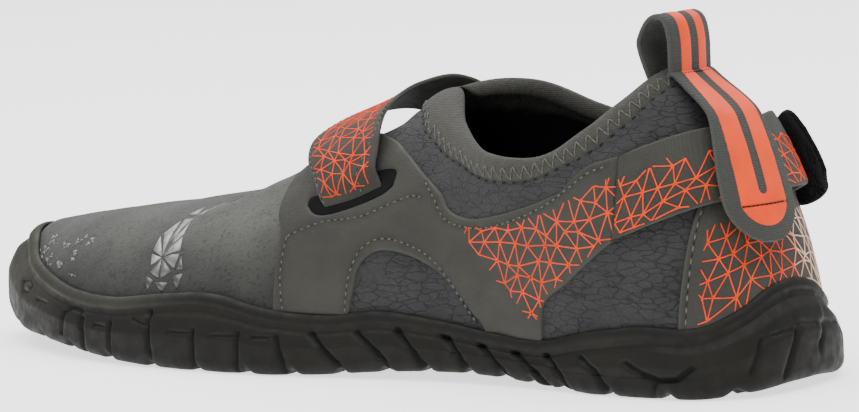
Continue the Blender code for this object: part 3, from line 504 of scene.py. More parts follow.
class Tree:
    """A material's nodes: each call adds a node and links what it is given."""

    def __init__(self, name, colour, roughness, sheen=0.0, specular=0.5):
        self.material = bpy.data.materials.new(name)
        self.material.use_nodes = True
        self.nodes = self.material.node_tree.nodes
        self.links = self.material.node_tree.links
        self.shader = next(node for node in self.nodes if node.type == "BSDF_PRINCIPLED")
        self.shader.inputs["Base Color"].default_value = (*colour, 1.0)
        self.shader.inputs["Roughness"].default_value = roughness
        self.shader.inputs["Sheen Weight"].default_value = sheen
        self.shader.inputs["Sheen Roughness"].default_value = 0.5
        self.shader.inputs["Specular IOR Level"].default_value = specular
        self.height = None

    def put(self, socket, value):
        """Links a node's output to a socket, or sets the socket."""
        if hasattr(value, "is_output"):
            self.links.new(value, socket)
        elif isinstance(value, (tuple, list)) and len(value) == 3 and socket.type == "RGBA":
            socket.default_value = (*value, 1.0)
        else:
            socket.default_value = value

    def add(self, kind, output=0, settings=None, **values):
        """A node of a kind; a value names its socket."""
        node = self.nodes.new(kind)
        for key, value in (settings or {}).items():
            setattr(node, key, value)
        for key, value in values.items():
            found = [s for s in node.inputs if s.identifier == key or s.name.replace(" ", "_") == key]
            found = [s for s in found if s.enabled] or found
            self.put(found[0], value)
        return node.outputs[output]

    def place(self, scale=(1.0, 1.0, 1.0), turn=(0.0, 0.0, 0.0)):
        """The place in the shoe, in millimetres times a scale."""
        where = self.add("ShaderNodeTexCoord", "Object")
        return self.add("ShaderNodeMapping", settings={"vector_type": "POINT"}, Vector=where,
                        Scale=tuple(1000 * s for s in scale), Rotation=turn)

    def value(self, name):
        """A number that the mesh carries on its points."""
        return self.add("ShaderNodeAttribute", "Fac", {"attribute_name": name})

    def math(self, operation, a, b):
        """One sum of two values."""
        node = self.nodes.new("ShaderNodeMath")
        node.operation = operation
        for socket, value in zip(node.inputs, (a, b)):
            self.put(socket, value)
        return node.outputs[0]

    def mix(self, share, a, b, blend="MIX"):
        """Two colours mixed by a share."""
        node = self.nodes.new("ShaderNodeMix")
        node.data_type = "RGBA"
        node.blend_type = blend
        node.clamp_factor = True
        colours = [s for s in node.inputs if s.type == "RGBA"]
        self.put(node.inputs[0], share)
        self.put(colours[0], a)
        self.put(colours[1], b)
        return next(s for s in node.outputs if s.type == "RGBA")

    def span(self, value, low, high, start=0.0, end=1.0):
        """Maps a value's range smoothly to another."""
        return self.add("ShaderNodeMapRange", settings={"interpolation_type": "SMOOTHSTEP"},
                        Value=value, From_Min=low, From_Max=high, To_Min=start, To_Max=end)

    def noise(self, vector, scale, detail=3.0, roughness=0.55):
        """Cloudy values of 0 to 1."""
        return self.add("ShaderNodeTexNoise", "Fac", Vector=vector, Scale=scale, Detail=detail, Roughness=roughness)

    def cells(self, vector, scale, feature="DISTANCE_TO_EDGE"):
        """Distances in a pattern of irregular cells."""
        return self.add("ShaderNodeTexVoronoi", "Distance", {"feature": feature}, Vector=vector, Scale=scale,
                        Randomness=1.0)

    def wave(self, vector, scale, direction, distortion):
        """Even bands across a direction."""
        return self.add("ShaderNodeTexWave", "Fac", {"bands_direction": direction, "wave_profile": "SIN"},
                        Vector=vector, Scale=scale, Distortion=distortion)

    def warped(self, vector, scale, amount):
        """A place pushed about by noise."""
        push = self.add("ShaderNodeTexNoise", "Color", Vector=vector, Scale=scale, Detail=2.0)
        centred = self.add("ShaderNodeVectorMath", settings={"operation": "SUBTRACT"}, Vector=push,
                           Vector_001=(0.5, 0.5, 0.5))
        moved = self.add("ShaderNodeVectorMath", settings={"operation": "SCALE"}, Vector=centred, Scale=amount)
        return self.add("ShaderNodeVectorMath", settings={"operation": "ADD"}, Vector=vector, Vector_001=moved)

    def raise_by(self, value, millimetres):
        """Adds relief of a depth in millimetres."""
        part = self.math("MULTIPLY", value, millimetres)
        self.height = part if self.height is None else self.math("ADD", self.height, part)

    def done(self, colour, roughness=None):
        """Links the colour, and the roughness and relief where there are any."""
        self.put(self.shader.inputs["Base Color"], colour)
        if roughness is not None:
            self.put(self.shader.inputs["Roughness"], roughness)
        if self.height is not None:
            bump = self.add("ShaderNodeBump", "Normal", Height=self.height, Distance=MM, Strength=1.0)
            self.links.new(bump, self.shader.inputs["Normal"])
        return self.material


def scaled(colour, factor):
    """A colour made lighter or darker."""
    return tuple(channel * factor for channel in colour)


# Colours read from the photograph, linear
RUBBER = (0.0070, 0.0067, 0.0052)
RUBBER_TOE = (0.0240, 0.0235, 0.0185)
OVERLAY = (0.0310, 0.0300, 0.0255)
QUARTER = (0.0255, 0.0257, 0.0262)
VAMP = (0.0560, 0.0570, 0.0520)
COLLAR = (0.0370, 0.0365, 0.0310)
LINING = (0.0052, 0.0052, 0.0055)
WEBBING = (0.0370, 0.0390, 0.0345)
ORANGE = (0.640, 0.044, 0.001)
# painted glare on the orange print round the heel
PAINTED_GLARE = (0.55, 0.36, 0.26)
HOOK = (0.0045, 0.0045, 0.0050)
SILVER = (0.27, 0.28, 0.26)
THREAD = (0.100, 0.098, 0.084)
# dark thread on the striped tab, and the painted shade of needle holes
DARK = (0.0050, 0.0050, 0.0045)

# Places on the medial side in millimetres: x, y, z
ZIGZAG = (
    (25.3, -11.0, 64.2), (33.7, -17.3, 60.5), (44.9, -23.0, 57.2), (51.4, -25.7, 55.1), (63.9, -28.9, 54.1),
    (73.1, -29.5, 55.0), (81.1, -29.1, 58.1), (91.0, -27.7, 62.7), (97.0, -24.8, 67.2), (101.2, -20.7, 71.6),
    (103.2, -14.9, 75.9),
)
VAMP_FOLD = (
    (-48.2, -33.8, 31.7), (-48.0, -24.1, 38.7), (-42.2, -19.9, 41.5), (-33.3, -17.9, 44.7), (-26.8, -17.5, 47.2),
)
COLLAR_FOLD = (
    (85.7, -29.7, 57.0), (91.6, -28.7, 60.2), (97.1, -26.4, 64.0), (100.7, -24.2, 66.8), (103.6, -21.4, 69.1),
)
Fold = namedtuple("Fold", "side line height width flat")
# Folds and dents of the cloth: side (0 is both), line in mm, height in mm, width in mm
FOLDS = (
    Fold(0, VAMP_FOLD, 0.9, 5.0, False),
    Fold(0, ((-55.0, -36.0, 29.0), (-54.0, -25.0, 36.5), (-47.0, -15.0, 41.5), (-40.0, -8.0, 43.5)), -0.7, 4.0, False),
    Fold(0, ((-62.0, 14.0, 38.5), (-48.0, 8.0, 42.5), (-36.0, 0.0, 45.5)), 0.5, 5.0, False),
    Fold(0, ((-74.0, -6.0, 39.0), (-66.0, 4.0, 40.5), (-60.0, 16.0, 38.5)), -0.5, 6.0, False),
    Fold(-1, COLLAR_FOLD, -0.7, 2.2, False),
    Fold(-1, ((84.0, -30.0, 51.5), (92.0, -29.0, 56.0), (99.0, -26.0, 60.5)), 0.35, 3.0, False),
    Fold(1, ((84.0, 30.0, 55.0), (92.0, 29.0, 60.0), (99.0, 24.0, 66.0)), -0.6, 2.4, True),
    Fold(1, ((36.0, 24.0, 58.0), (47.0, 29.0, 53.0), (60.0, 31.0, 52.0)), -0.4, 2.6, True),
    Fold(-1, ((96.0, -30.0, 21.0), (104.0, -30.0, 27.0), (113.0, -27.0, 30.0)), -0.35, 3.0, True),
    Fold(1, ((-30.0, 40.0, 22.0), (-24.0, 38.0, 32.0), (-22.0, 30.0, 41.0)), -0.4, 3.5, True),
)


def cloth_material():
    """Foam-backed stretch cloth: finely cracked skin below, speckled on the vamp, felted knit in the collar band."""
    t = Tree("cloth", QUARTER, 0.78, sheen=0.06, specular=0.15)
    zone, vamp = t.value("band"), t.value("vamp")
    band, inner = t.math("MINIMUM", zone, 1.0), t.math("MAXIMUM", t.math("SUBTRACT", zone, 1.0), 0.0)
    plain, quarter = t.math("SUBTRACT", 1.0, band), t.math("SUBTRACT", 1.0, vamp)
    wide = t.warped(t.place((0.20, 0.24, 0.54)), 1.1, 0.65)
    part_lost = t.span(t.noise(t.place((0.11, 0.11, 0.16)), 1.0, 3.0), 0.30, 0.48)
    plates = t.span(t.cells(wide, 1.0), 0.0, 0.075)
    crack = t.math("MULTIPLY", t.math("SUBTRACT", 1.0, plates), t.math("MULTIPLY", part_lost, plain))
    wrinkle = t.span(t.cells(t.warped(t.place((0.5, 0.5, 0.9)), 0.9, 0.6), 1.0), 0.0, 0.25)
    grain = t.noise(t.place(), 1.3, 4.0, 0.65)
    t.raise_by(t.math("MULTIPLY", crack, quarter), -0.16)
    t.raise_by(t.math("MULTIPLY", wrinkle, plain), 0.035)
    t.raise_by(grain, 0.20)
    knit = t.math("MULTIPLY", t.wave(t.place(), 0.55, "X", 1.2), t.wave(t.place(), 0.55, "Z", 1.2))
    t.raise_by(t.math("MULTIPLY", knit, band), 0.10)
    shade = t.span(t.noise(t.place((0.06, 0.06, 0.09)), 1.0, 4.0), 0.3, 0.7, 0.86, 1.14)
    quarter_skin = t.mix(crack, t.mix(wrinkle, scaled(QUARTER, 0.88), scaled(QUARTER, 1.04)), scaled(QUARTER, 0.46))
    speck = t.span(t.noise(t.place((1.0, 1.0, 1.0)), 0.75, 3.0, 0.6), 0.36, 0.46)
    vamp_skin = t.mix(speck, scaled(VAMP, 0.66), t.mix(grain, scaled(VAMP, 0.90), scaled(VAMP, 1.12)))
    # The vamp is darker towards the sole and lighter on top: partly the cloth's own fade, partly painted light from
    # above
    height = t.add("ShaderNodeSeparateXYZ", "Z", Vector=t.place())
    vamp_skin = t.mix(1.0, vamp_skin, t.span(height, 18.0, 44.0, 0.40, 1.06), "MULTIPLY")
    skin_colour = t.mix(1.0, t.mix(vamp, quarter_skin, vamp_skin), shade, "MULTIPLY")
    felt = t.mix(t.span(t.noise(t.place(), 0.8, 4.0), 0.3, 0.7), scaled(COLLAR, 0.84), scaled(COLLAR, 1.12))
    return t.done(t.mix(inner, t.mix(band, skin_colour, felt), LINING), t.span(grain, 0.3, 0.7, 0.70, 0.86))


def lining_material():
    """Dark brushed lining."""
    t = Tree("lining", LINING, 0.92, sheen=0.01, specular=0.08)
    t.raise_by(t.noise(t.place(), 1.4, 3.0), 0.2)
    t.raise_by(t.wave(t.place(), 0.45, "X", 2.0), 0.06)
    colour = t.mix(t.noise(t.place((0.2, 0.2, 0.2)), 1.0), scaled(LINING, 0.7), scaled(LINING, 1.5))
    return t.done(colour)


CLOTH, INNER = cloth_material(), lining_material()
ZIG_PLACES = [place_at(-1, x * MM, z * MM) for x, _, z in ZIGZAG]
ZIG_ROWS = np.array([8.15, *(row for row, _ in ZIG_PLACES), LAST])
ZIG_SHARES = np.array([1.0, *(share for _, share in ZIG_PLACES), ZIG_PLACES[-1][1]])
# Radius of the collar's rolled edge, and how far the collar's felt reaches inside: all round, and more at the throat
ROLL = 0.0021
INNER_BAND = 0.0050
THROAT_BAND = 0.0060


def outer_relief(side, row, share, points):
    """How far folds, dents and the padded collar move the cloth out."""
    flat = points.reshape(-1, 3)
    relief = 0.00012 * wavy(flat, 0.021) + 0.00008 * wavy(flat, 0.009, 2.0)
    for fold in FOLDS:
        near = segment_distance(flat, np.array(fold.line) * MM, fold.flat)
        bump = fold.height * MM * np.exp(-(near / (fold.width * MM)) ** 2)
        if fold.side:
            bump = np.where(np.broadcast_to(side, points.shape[:2]).ravel() == fold.side, bump, 0)
        relief = relief + bump
    relief = relief.reshape(points.shape[:2])
    zig = np.interp(row, ZIG_ROWS, ZIG_SHARES)
    across = (share - zig) / np.maximum(1 - zig, 0.02)
    pad = np.where((across > 0) & (row > ZIG_ROWS[0]), np.sin(np.clip(across, 0, 1) * math.pi) ** 0.7, 0.0)
    reach = skin(side, row, share) - skin(side, row, np.broadcast_to(zig, share.shape))
    seam = np.exp(-(np.linalg.norm(reach, axis=-1) / 0.0012) ** 2) * (row > ZIG_ROWS[0] + 0.02)
    return relief + 0.0007 * pad - 0.00045 * seam


BOTH = (-1, 1)
UPPER_ROWS, UPPER_LEVELS, ROLL_LEVELS, LINING_LEVELS = 330, 100, 8, 30
# The cloth starts behind the rubber, at this share of the way up to the lip
BEHIND_LIP = 0.55
# Normals are taken a little below the ridge
NORMAL_TOP = 0.992
# Points closer than this become one, in metres
MERGE, SOLE_MERGE = 4e-6, 8e-6


def make_upper():
    """The shaped upper: outside, rolled collar edge and lining in one closed wall."""
    rows = even_rows(UPPER_ROWS, share=0.5, exact=(THROAT,))
    throat = int(np.argmin(np.abs(rows - THROAT)))
    grid_rows = np.broadcast_to(rows[:, None], (len(rows), UPPER_LEVELS))
    lining_rows = grid_rows[:, :LINING_LEVELS]
    outside = {}
    for side in BOTH:
        first = BEHIND_LIP * lip_share(side, rows)[:, None]
        shares = first + (1 - first) * np.linspace(0, 1, UPPER_LEVELS)[None, :]
        outside[side] = (shares, skin(side, grid_rows, shares),
                         outward(side, grid_rows, np.minimum(shares, NORMAL_TOP)))
    middle = unit(outside[-1][2][:throat + 1, -1] + outside[1][2][:throat + 1, -1])
    ridge = outer_relief(-1, grid_rows, *outside[-1][:2])[:throat + 1, -1]
    shell = Shell()
    for side in BOTH:
        shares, surface, normal = outside[side]
        normal[:throat + 1, -1] = middle
        relief = outer_relief(side, grid_rows, shares, surface)
        relief[:throat + 1, -1] = ridge
        moved = surface + normal * relief[..., None]
        zig = np.interp(grid_rows, ZIG_ROWS, ZIG_SHARES)
        in_band = smooth_step((shares - zig) / 0.012 + 0.5) * (grid_rows > ZIG_ROWS[0])
        in_vamp = smooth_step((0.015 - surface[..., 0]) / 0.020)
        shell.add(moved, side > 0, band=in_band, vamp=in_vamp)
        top, below = moved[throat:, -1], moved[throat:, -3]
        radius = ROLL * smooth_step((rows[throat:] - THROAT) / 0.35)[:, None]
        up, out = unit(top - below), normal[throat:, -1]
        turns = np.linspace(0, math.pi, ROLL_LEVELS)
        roll = np.stack([top - out * radius * (1 - math.cos(a)) + up * radius * math.sin(a) for a in turns], 1)
        shell.add(roll, side > 0, band=1.0, vamp=0.0)
        depth = np.full((len(rows), 1), UPPER_WALL)
        depth[throat:] = 2 * radius
        steps = np.linspace(0, 1, LINING_LEVELS)[None, :]
        # both sides of the lining end at the lateral side's share
        fall = 1 - (1 - BEHIND_LIP * lip_share(1, rows)[:, None]) * steps
        inner_normal = outward(side, lining_rows, np.minimum(fall, NORMAL_TOP))
        inner_normal[:throat + 1, 0] = middle
        inner_depth = depth + (UPPER_WALL - depth) * smooth_step(steps * 6)
        inner = skin(side, lining_rows, fall) - inner_normal * inner_depth[..., None]
        inner[throat:, 0] = roll[:, -1]
        run = np.linalg.norm(inner - inner[:, :1], axis=-1)
        gap = np.where(lining_rows < THROAT, np.linalg.norm(inner - inner[throat, 0], axis=-1), run)
        band_depth = INNER_BAND + THROAT_BAND * np.exp(-((lining_rows - THROAT) / 2.0) ** 2)
        inside = smooth_step((gap - band_depth) / 0.0012)
        dark = inside[:-1, :-1] * inside[1:, 1:] * inside[1:, :-1] * inside[:-1, 1:] > 0.99
        shell.add(inner, side > 0, np.where(dark, 1, 0), band=1.0 + inside, vamp=0.0)
        shell.add(np.stack([inner[:, -1], moved[:, 0]], 1), side > 0, 1, band=0.0, vamp=0.0)
    return shell.piece("upper_shell", "upper_cloth", "upper", (CLOTH, INNER), MERGE)


def side_tree():
    """The plain outside of the upper on each side, to place overlays on."""
    trees = {}
    rows = even_rows(300, share=0.5)
    levels = np.linspace(0.02, 0.999, 90)
    faces = grid_faces(len(rows), len(levels))
    for side in BOTH:
        grid_rows, shares = np.meshgrid(rows, levels, indexing="ij")
        points = skin(side, grid_rows, shares).reshape(-1, 3)
        turned = faces[:, ::-1] if side > 0 else faces
        tree = BVHTree.FromPolygons([Vector(p) for p in points], [tuple(map(int, f)) for f in turned])
        trees[side] = tree, outward(side, grid_rows, shares).reshape(-1, 3), turned
    return trees


SIDES = side_tree()


def project(side, flat):
    """Places and normals on the upper straight across from points in the side view."""
    tree, normals, faces = SIDES[side]
    places, directions = [], []
    for x, z in flat:
        hit = tree.ray_cast(Vector((x, side * 0.09, z)), Vector((0, -side, 0)))
        if hit[0] is None:
            hit = tree.find_nearest(Vector((x, side * 0.03, z)))
        places.append(tuple(hit[0]))
        directions.append(normals[faces[hit[2]]].mean(0))
    return np.array(places), unit(np.array(directions))


Slit = namedtuple("Slit", "line width depth")
# Grooves and slits of the sole's side in millimetres, x and z in the side view
SIDE_GROOVES = (
    Slit(((-101.7, 14.6), (-96.2, 14.3)), 0.9, 0.7),
    Slit(((-86.5, 7.0), (-85.9, 12.8), (-82.0, 14.2), (-78.1, 13.4), (-77.2, 9.0)), 1.0, 0.9),
    Slit(((-76.5, 11.9), (-76.2, 2.0)), 0.9, 1.0),
    Slit(((-70.8, 10.5), (-67.0, 10.4)), 0.8, 0.6),
    Slit(((-64.4, 11.8), (-64.0, 1.0)), 0.9, 1.0),
    Slit(((-55.3, 13.1), (-49.6, 11.8)), 0.8, 0.7),
    Slit(((-49.5, 15.8), (-48.6, 8.0), (-47.6, 0.5)), 1.0, 1.2),
    Slit(((-40.7, 10.6), (-33.4, 10.7)), 0.8, 0.7),
    Slit(((-32.4, 11.6), (-32.3, 0.0)), 1.0, 1.2),
    Slit(((-25.7, 10.3), (-18.6, 10.6)), 0.8, 0.7),
    Slit(((-17.2, 11.4), (-17.4, 0.0)), 1.0, 1.2),
    Slit(((-12.4, 10.3), (-7.5, 10.5)), 0.8, 0.7),
    Slit(((-5.2, 10.8), (-4.1, 7.9), (-3.0, 4.7), (-2.2, 0.0)), 1.0, 1.2),
    Slit(((5.0, 11.6), (8.0, 8.8), (10.6, 6.4), (13.2, 4.0), (14.4, 0.5)), 1.1, 1.4),
    Slit(((18.2, 12.4), (22.1, 9.7), (25.0, 7.4), (27.2, 4.8), (28.6, 0.5)), 1.1, 1.4),
    Slit(((30.1, 13.2), (32.7, 10.8), (36.0, 7.7), (39.5, 2.5)), 1.1, 1.4),
    Slit(((43.5, 13.0), (46.5, 10.5), (49.8, 7.3), (53.0, 2.5)), 1.1, 1.4),
    Slit(((55.5, 10.6), (59.8, 7.5), (63.5, 4.6), (66.0, 1.5)), 1.1, 1.4),
    Slit(((66.8, 9.2), (71.2, 6.7), (75.6, 4.4), (79.0, 1.0)), 1.1, 1.4),
    Slit(((77.8, 9.2), (81.2, 6.9), (83.6, 4.3), (86.0, 0.5)), 1.1, 1.3),
    Slit(((90.2, 9.6), (92.9, 7.8), (95.5, 6.4), (99.0, 1.0)), 1.1, 1.3),
    Slit(((105.1, 9.2), (109.8, 6.8), (115.0, 5.2), (119.8, 5.3), (123.8, 8.5)), 1.1, 1.2),
    Slit(((114.0, 5.0), (113.0, 0.5)), 1.0, 1.0),
)
# The same for the heel's and the toe's ends, x, y and z
END_GROOVES = (
    Slit(((136.0, -16.3, 14.9), (135.8, -18.4, 11.0), (135.0, -20.2, 6.9)), 1.0, 0.9),
    Slit(((138.6, -4.4, 15.6), (138.8, -7.7, 10.2), (138.6, -10.5, 4.6)), 1.0, 1.0),
    Slit(((138.4, 7.3, 16.3), (139.0, 4.7, 10.2), (137.5, 4.7, 3.4)), 1.0, 1.0),
    Slit(((136.0, 19.3, 15.3), (136.2, 20.4, 11.0), (135.0, 22.2, 6.9)), 1.0, 0.9),
    Slit(((138.2, -3.6, 17.6), (138.6, 3.9, 16.6)), 0.8, 0.6),
    Slit(((138.5, 5.8, 16.3), (136.4, 16.3, 15.0)), 0.8, 0.6),
    Slit(((137.0, -13.5, 15.6), (138.0, -6.5, 16.0)), 0.8, 0.6),
    Slit(((-114.3, -29.2, 18.5), (-109.8, -30.9, 19.1), (-107.3, -32.7, 17.8), (-108.2, -33.2, 16.2),
          (-112.2, -31.5, 16.0), (-114.3, -29.2, 18.5)), 0.8, 0.8),
    Slit(((-124.0, -22.0, 16.5), (-121.5, -24.0, 15.2), (-118.5, -26.5, 15.0)), 0.8, 0.6),
    Slit(((-133.0, -10.0, 18.0), (-131.0, -14.0, 12.0)), 0.9, 0.7),
    Slit(((-133.0, 0.0, 18.0), (-132.0, 2.0, 12.0)), 0.9, 0.7),
    Slit(((-127.0, 12.0, 18.5), (-126.0, 13.0, 12.0)), 0.9, 0.7),
    Slit(((-114.0, 19.0, 18.5), (-109.8, 22.9, 19.1), (-107.3, 25.7, 17.8), (-108.2, 25.2, 16.2),
          (-112.2, 21.5, 16.0), (-114.0, 19.0, 18.5)), 0.8, 0.8),
)
HEEL_RIB = ((134.5, 5.5, 26.0), (138.4, 2.0, 17.5))
# Points up the sole's wall, across its tread and along it
LEVELS_ROUND, LEVELS_WALL, LEVELS_LIP = 7, 34, 7
TREAD = 64
SOLE_ROWS = 430
# How far the cross grooves bend forward in the middle, and half the width of a groove
TREAD_CHEVRON = 0.006
CROSS_HALF, LONG_HALF = 0.0013, 0.0014
LONG_GROOVES = (0.355, 0.645)
CROSS_GROOVES = (-0.410, -0.350, -0.295, -0.235, -0.175, -0.115, -0.055, -0.005, 0.045, 0.092, 0.138, 0.185, 0.226,
                 0.262, 0.298, 0.355, 0.415, 0.462)


def rubber_material():
    """Matt moulded rubber, paler high on the toe and along the front of the lip, with painted shade in its grooves;
    its roughness varies in patches.
    """
    t = Tree("rubber", RUBBER, 0.6, specular=0.14)
    t.raise_by(t.noise(t.place(), 1.6, 3.0), 0.05)
    t.raise_by(t.noise(t.place((0.12, 0.12, 0.12)), 1.0, 2.0), 0.15)
    lip, dent = t.value("lip"), t.value("dent")
    shade = t.span(t.noise(t.place((0.05, 0.05, 0.08)), 1.0, 4.0), 0.3, 0.7, 0.85, 1.18)
    along = t.add("ShaderNodeSeparateXYZ", "X", Vector=t.place())
    toe = t.span(along, -112.0, -84.0, 1.0, 0.0)
    high = t.span(t.add("ShaderNodeSeparateXYZ", "Z", Vector=t.place()), 6.0, 22.0)
    front_lip = t.math("MULTIPLY", lip, t.span(along, -70.0, -30.0, 0.8, 0.0))
    pale = t.math("MAXIMUM", t.math("MULTIPLY", toe, high), front_lip)
    base = t.mix(pale, RUBBER, RUBBER_TOE)
    base = t.mix(1.0, base, shade, "MULTIPLY")
    # painted shade: the deeper a groove or slit, the nearer to black it is painted
    colour = t.mix(t.math("MULTIPLY", dent, 0.95), base, scaled(RUBBER, 0.15))
    rough = t.span(t.noise(t.place((0.3, 0.3, 0.3)), 1.0, 3.0), 0.3, 0.7, 0.50, 0.68)
    return t.done(colour, rough)


def rubber_depth(along):
    """Thickness of the rubber outside the upper at mid height."""
    toe, heel = smooth_step((-0.34 - along) / 0.12), smooth_step((along - 0.36) / 0.11)
    return SIDE_RUBBER + (TOE_RUBBER - SIDE_RUBBER) * toe + (HEEL_RUBBER - SIDE_RUBBER) * heel


def groove_depth(side, points):
    """How deep the sole's side is cut at each point, in metres."""
    flat = points.reshape(-1, 3)
    depth = np.zeros(len(flat))
    shift = 0.0 if side < 0 else 0.003
    slope = 0.0018
    for slit in SIDE_GROOVES:
        line = np.array(slit.line) * MM
        near = segment_distance(flat + (shift, 0, 0), line, flat=True)
        cut = slit.depth * MM * np.exp(-(near / (slit.width * MM * 0.72)) ** 2)
        # each block swells a little behind its groove
        swell = -0.00022 * np.exp(-((near - slope) / 0.0016) ** 2)
        depth = np.where(np.abs(cut) > 2e-5, np.maximum(depth, cut + swell), depth)
    for slit in END_GROOVES:
        near = segment_distance(flat, np.array(slit.line) * MM)
        depth = np.maximum(depth, slit.depth * MM * np.exp(-(near / (slit.width * MM * 0.75)) ** 2))
    rib = segment_distance(flat, np.array(HEEL_RIB) * MM)
    depth = depth - 0.0006 * (1 - smooth_step((rib - 0.0052) / 0.0014)) * (flat[:, 0] > 0.12)
    return depth.reshape(points.shape[:-1])


# Share of the rubber's thickness that is left at a share of the wall's height
WALL_SHAPE = (0, 0.45, 0.75, 0.92, 1.0), (1.0, 0.98, 0.72, 0.34, 0.22)
LIP_ROUND = 0.0010


def wall_profile(bottom, lip, rubber):
    """The sole's wall from the bottom edge over the lip: heights, distances from the upper, share in the lip."""
    levels = []
    for a in np.linspace(0, math.pi / 2, LEVELS_ROUND):
        levels.append((bottom + EDGE_ROUND * (1 - math.cos(a)), rubber - EDGE_ROUND * (1 - math.sin(a)), 0.0))
    low, high = bottom + EDGE_ROUND, lip - LIP_HEIGHT
    for part in np.linspace(0, 1, LEVELS_WALL + 1)[1:]:
        out = np.maximum(rubber * np.interp(part, *WALL_SHAPE), LIP_THICKNESS * (0.35 + 0.65 * part))
        levels.append((low + (high - low) * part, out, float(smooth_step((part - 0.93) / 0.07))))
    for part in np.linspace(0, 1, LEVELS_LIP + 1)[1:]:
        out = np.full(len(lip), LIP_THICKNESS + CLEARANCE) - LIP_ROUND * part ** 3
        levels.append((high + LIP_HEIGHT * part, out, 1.0))
    for part in (0.5, 1.0):
        out = np.full(len(lip), CLEARANCE + (LIP_THICKNESS - LIP_ROUND) * (1 - part))
        levels.append((lip + 0.0001, out, 1.0))
    heights, outs, tops = zip(*levels)
    return np.stack(heights, 1), np.stack(outs, 1), np.array(tops)


def side_wall(side, rows):
    """One side of the sole: points from the bottom edge over the lip to the floor inside, lip values and how much
    painted shade each point gets in its groove.
    """
    along, count = along_of(rows), len(rows)
    bottom = bottom_height(along)
    height, out, tops = wall_profile(bottom, lip_height(side, along), rubber_depth(along))
    grid_rows = np.broadcast_to(rows[:, None], height.shape)
    share = share_at(side, grid_rows, height)
    place = skin(side, grid_rows, share)
    normal = outward(side, grid_rows, share)
    low_down = share <= 0.0
    normal = np.where(low_down[..., None], unit(normal * (1, 1, 0)), normal)
    place[..., 2] = np.where(low_down, height, place[..., 2])
    levels = np.arange(height.shape[1])
    depth = groove_depth(side, place + normal * out[..., None]) * (levels < LEVELS_ROUND + LEVELS_WALL - 2)
    place = place + normal * (out - depth)[..., None]
    place[..., 2] += 0.00010 * wavy(place, 0.013, 1.0)
    lifts = np.zeros(count)
    for groove in CROSS_GROOVES:
        lifts = np.maximum(lifts, np.exp(-((along - groove) * LENGTH / CROSS_HALF) ** 2))
    fade = np.clip(1 - levels / (LEVELS_ROUND + 3), 0, 1)[None, :]
    place[..., 2] += LUG_DEPTH * 0.85 * lifts[:, None] * fade
    inner_lip = lip_share(side, rows)
    inner = [off_skin(side, rows, inner_lip * part, np.full(count, CLEARANCE)) for part in (0.95, 0.6, 0.3, 0.0)]
    base = inner[-1].copy()
    base[:, 2] = bottom + SOLE_FLOOR
    plain = np.zeros((count, len(inner) + 1))
    return (np.concatenate([place, np.stack(inner + [base], 1)], 1),
            np.concatenate([np.broadcast_to(tops, height.shape), plain], 1),
            np.concatenate([np.clip(depth / 0.0011, 0, 1), plain], 1))


def cut_tread(strip, across, width):
    """Heights of the bottom with its grooves, and how far each point lies in a groove, which sets its painted shade.
    """
    where = strip[..., 0] + TREAD_CHEVRON * np.sin(math.pi * across)
    cut = np.zeros(strip.shape[:2])
    for groove in CROSS_GROOVES:
        cut = np.maximum(cut, np.exp(-((where - groove * LENGTH) / CROSS_HALF) ** 4))
    for track in LONG_GROOVES:
        cut = np.maximum(cut, np.exp(-((across - track) * width / LONG_HALF) ** 4))
    edge = smooth_step(np.minimum(across, 1 - across) * width / 0.004)
    base_z = bottom_height(np.clip(strip[..., 0] / LENGTH, EDGES[0].along, EDGES[-1].along))
    return strip[..., 2] * (1 - edge) + (base_z + LUG_DEPTH * cut) * edge, cut * edge * 0.8


def make_outsole():
    """The cup sole with its side grooves, lip, lugs below and floor inside."""
    rows = even_rows(SOLE_ROWS, share=0.08)
    walls = [side_wall(side, rows) for side in BOTH]
    shell = Shell()
    for side, (column, lip, dent) in zip(BOTH, walls):
        shell.add(column, side > 0, lip=lip, dent=dent)
    across = np.linspace(0, 1, TREAD)[None, :]
    for level in (0, -1):
        near, far = (column[:, level][:, None] for column, _, _ in walls)
        strip = near + (far - near) * across[..., None]
        dent = 0.0
        if level == 0:
            strip[..., 2], dent = cut_tread(strip, across, np.linalg.norm(far - near, axis=-1))
        shell.add(strip, level < 0, lip=0.0, dent=dent)
    return shell.piece("sole_rubber", "rubber_sole", "outsole", (rubber_material(),), SOLE_MERGE)


def insole_material():
    """Dark cloth over thin foam."""
    t = Tree("footbed", LINING, 0.9, sheen=0.1)
    knit = t.math("MULTIPLY", t.wave(t.place(), 0.5, "X", 1.0), t.wave(t.place(), 0.5, "Y", 1.0))
    t.raise_by(knit, 0.15)
    return t.done(t.mix(knit, scaled(LINING, 1.2), scaled(LINING, 2.4)))


def make_insole():
    """A thin footbed with a soft raised edge."""
    rows = even_rows(120, share=0.08)
    inset = UPPER_WALL + 3 * CLEARANCE + 0.0006
    edges = {}
    shell = Shell()
    for side in BOTH:
        base, _ = base_and_top(side, rows)
        above = skin(side, rows, lip_share(side, rows) / 2)
        normal = unit(outward(side, rows, 0.02) * (1, 1, 0))
        ring = []
        for up, back in ((0.0, 0.0), (0.0016, 0.0), (0.0026, 0.0004), (INSOLE_THICKNESS, 0.0014)):
            share = (up / (above[:, 2] - base[:, 2]))[:, None]
            point = base + (above - base) * share - normal * (inset + back)
            point[:, 2] = base[:, 2] + up
            ring.append(point)
        edges[side] = np.stack(ring, 1)
        shell.add(edges[side], side > 0)
    across = np.linspace(0, 1, 40)[None, :, None]
    for level in (0, 3):
        strip = edges[-1][:, level][:, None] * (1 - across) + edges[1][:, level][:, None] * across
        if level:
            strip[..., 2] -= 0.0008 * np.sin(math.pi * across[..., 0]) ** 2
        shell.add(strip, level > 0)
    return shell.piece("footbed", "footbed", "insole", (insole_material(),), SOLE_MERGE)


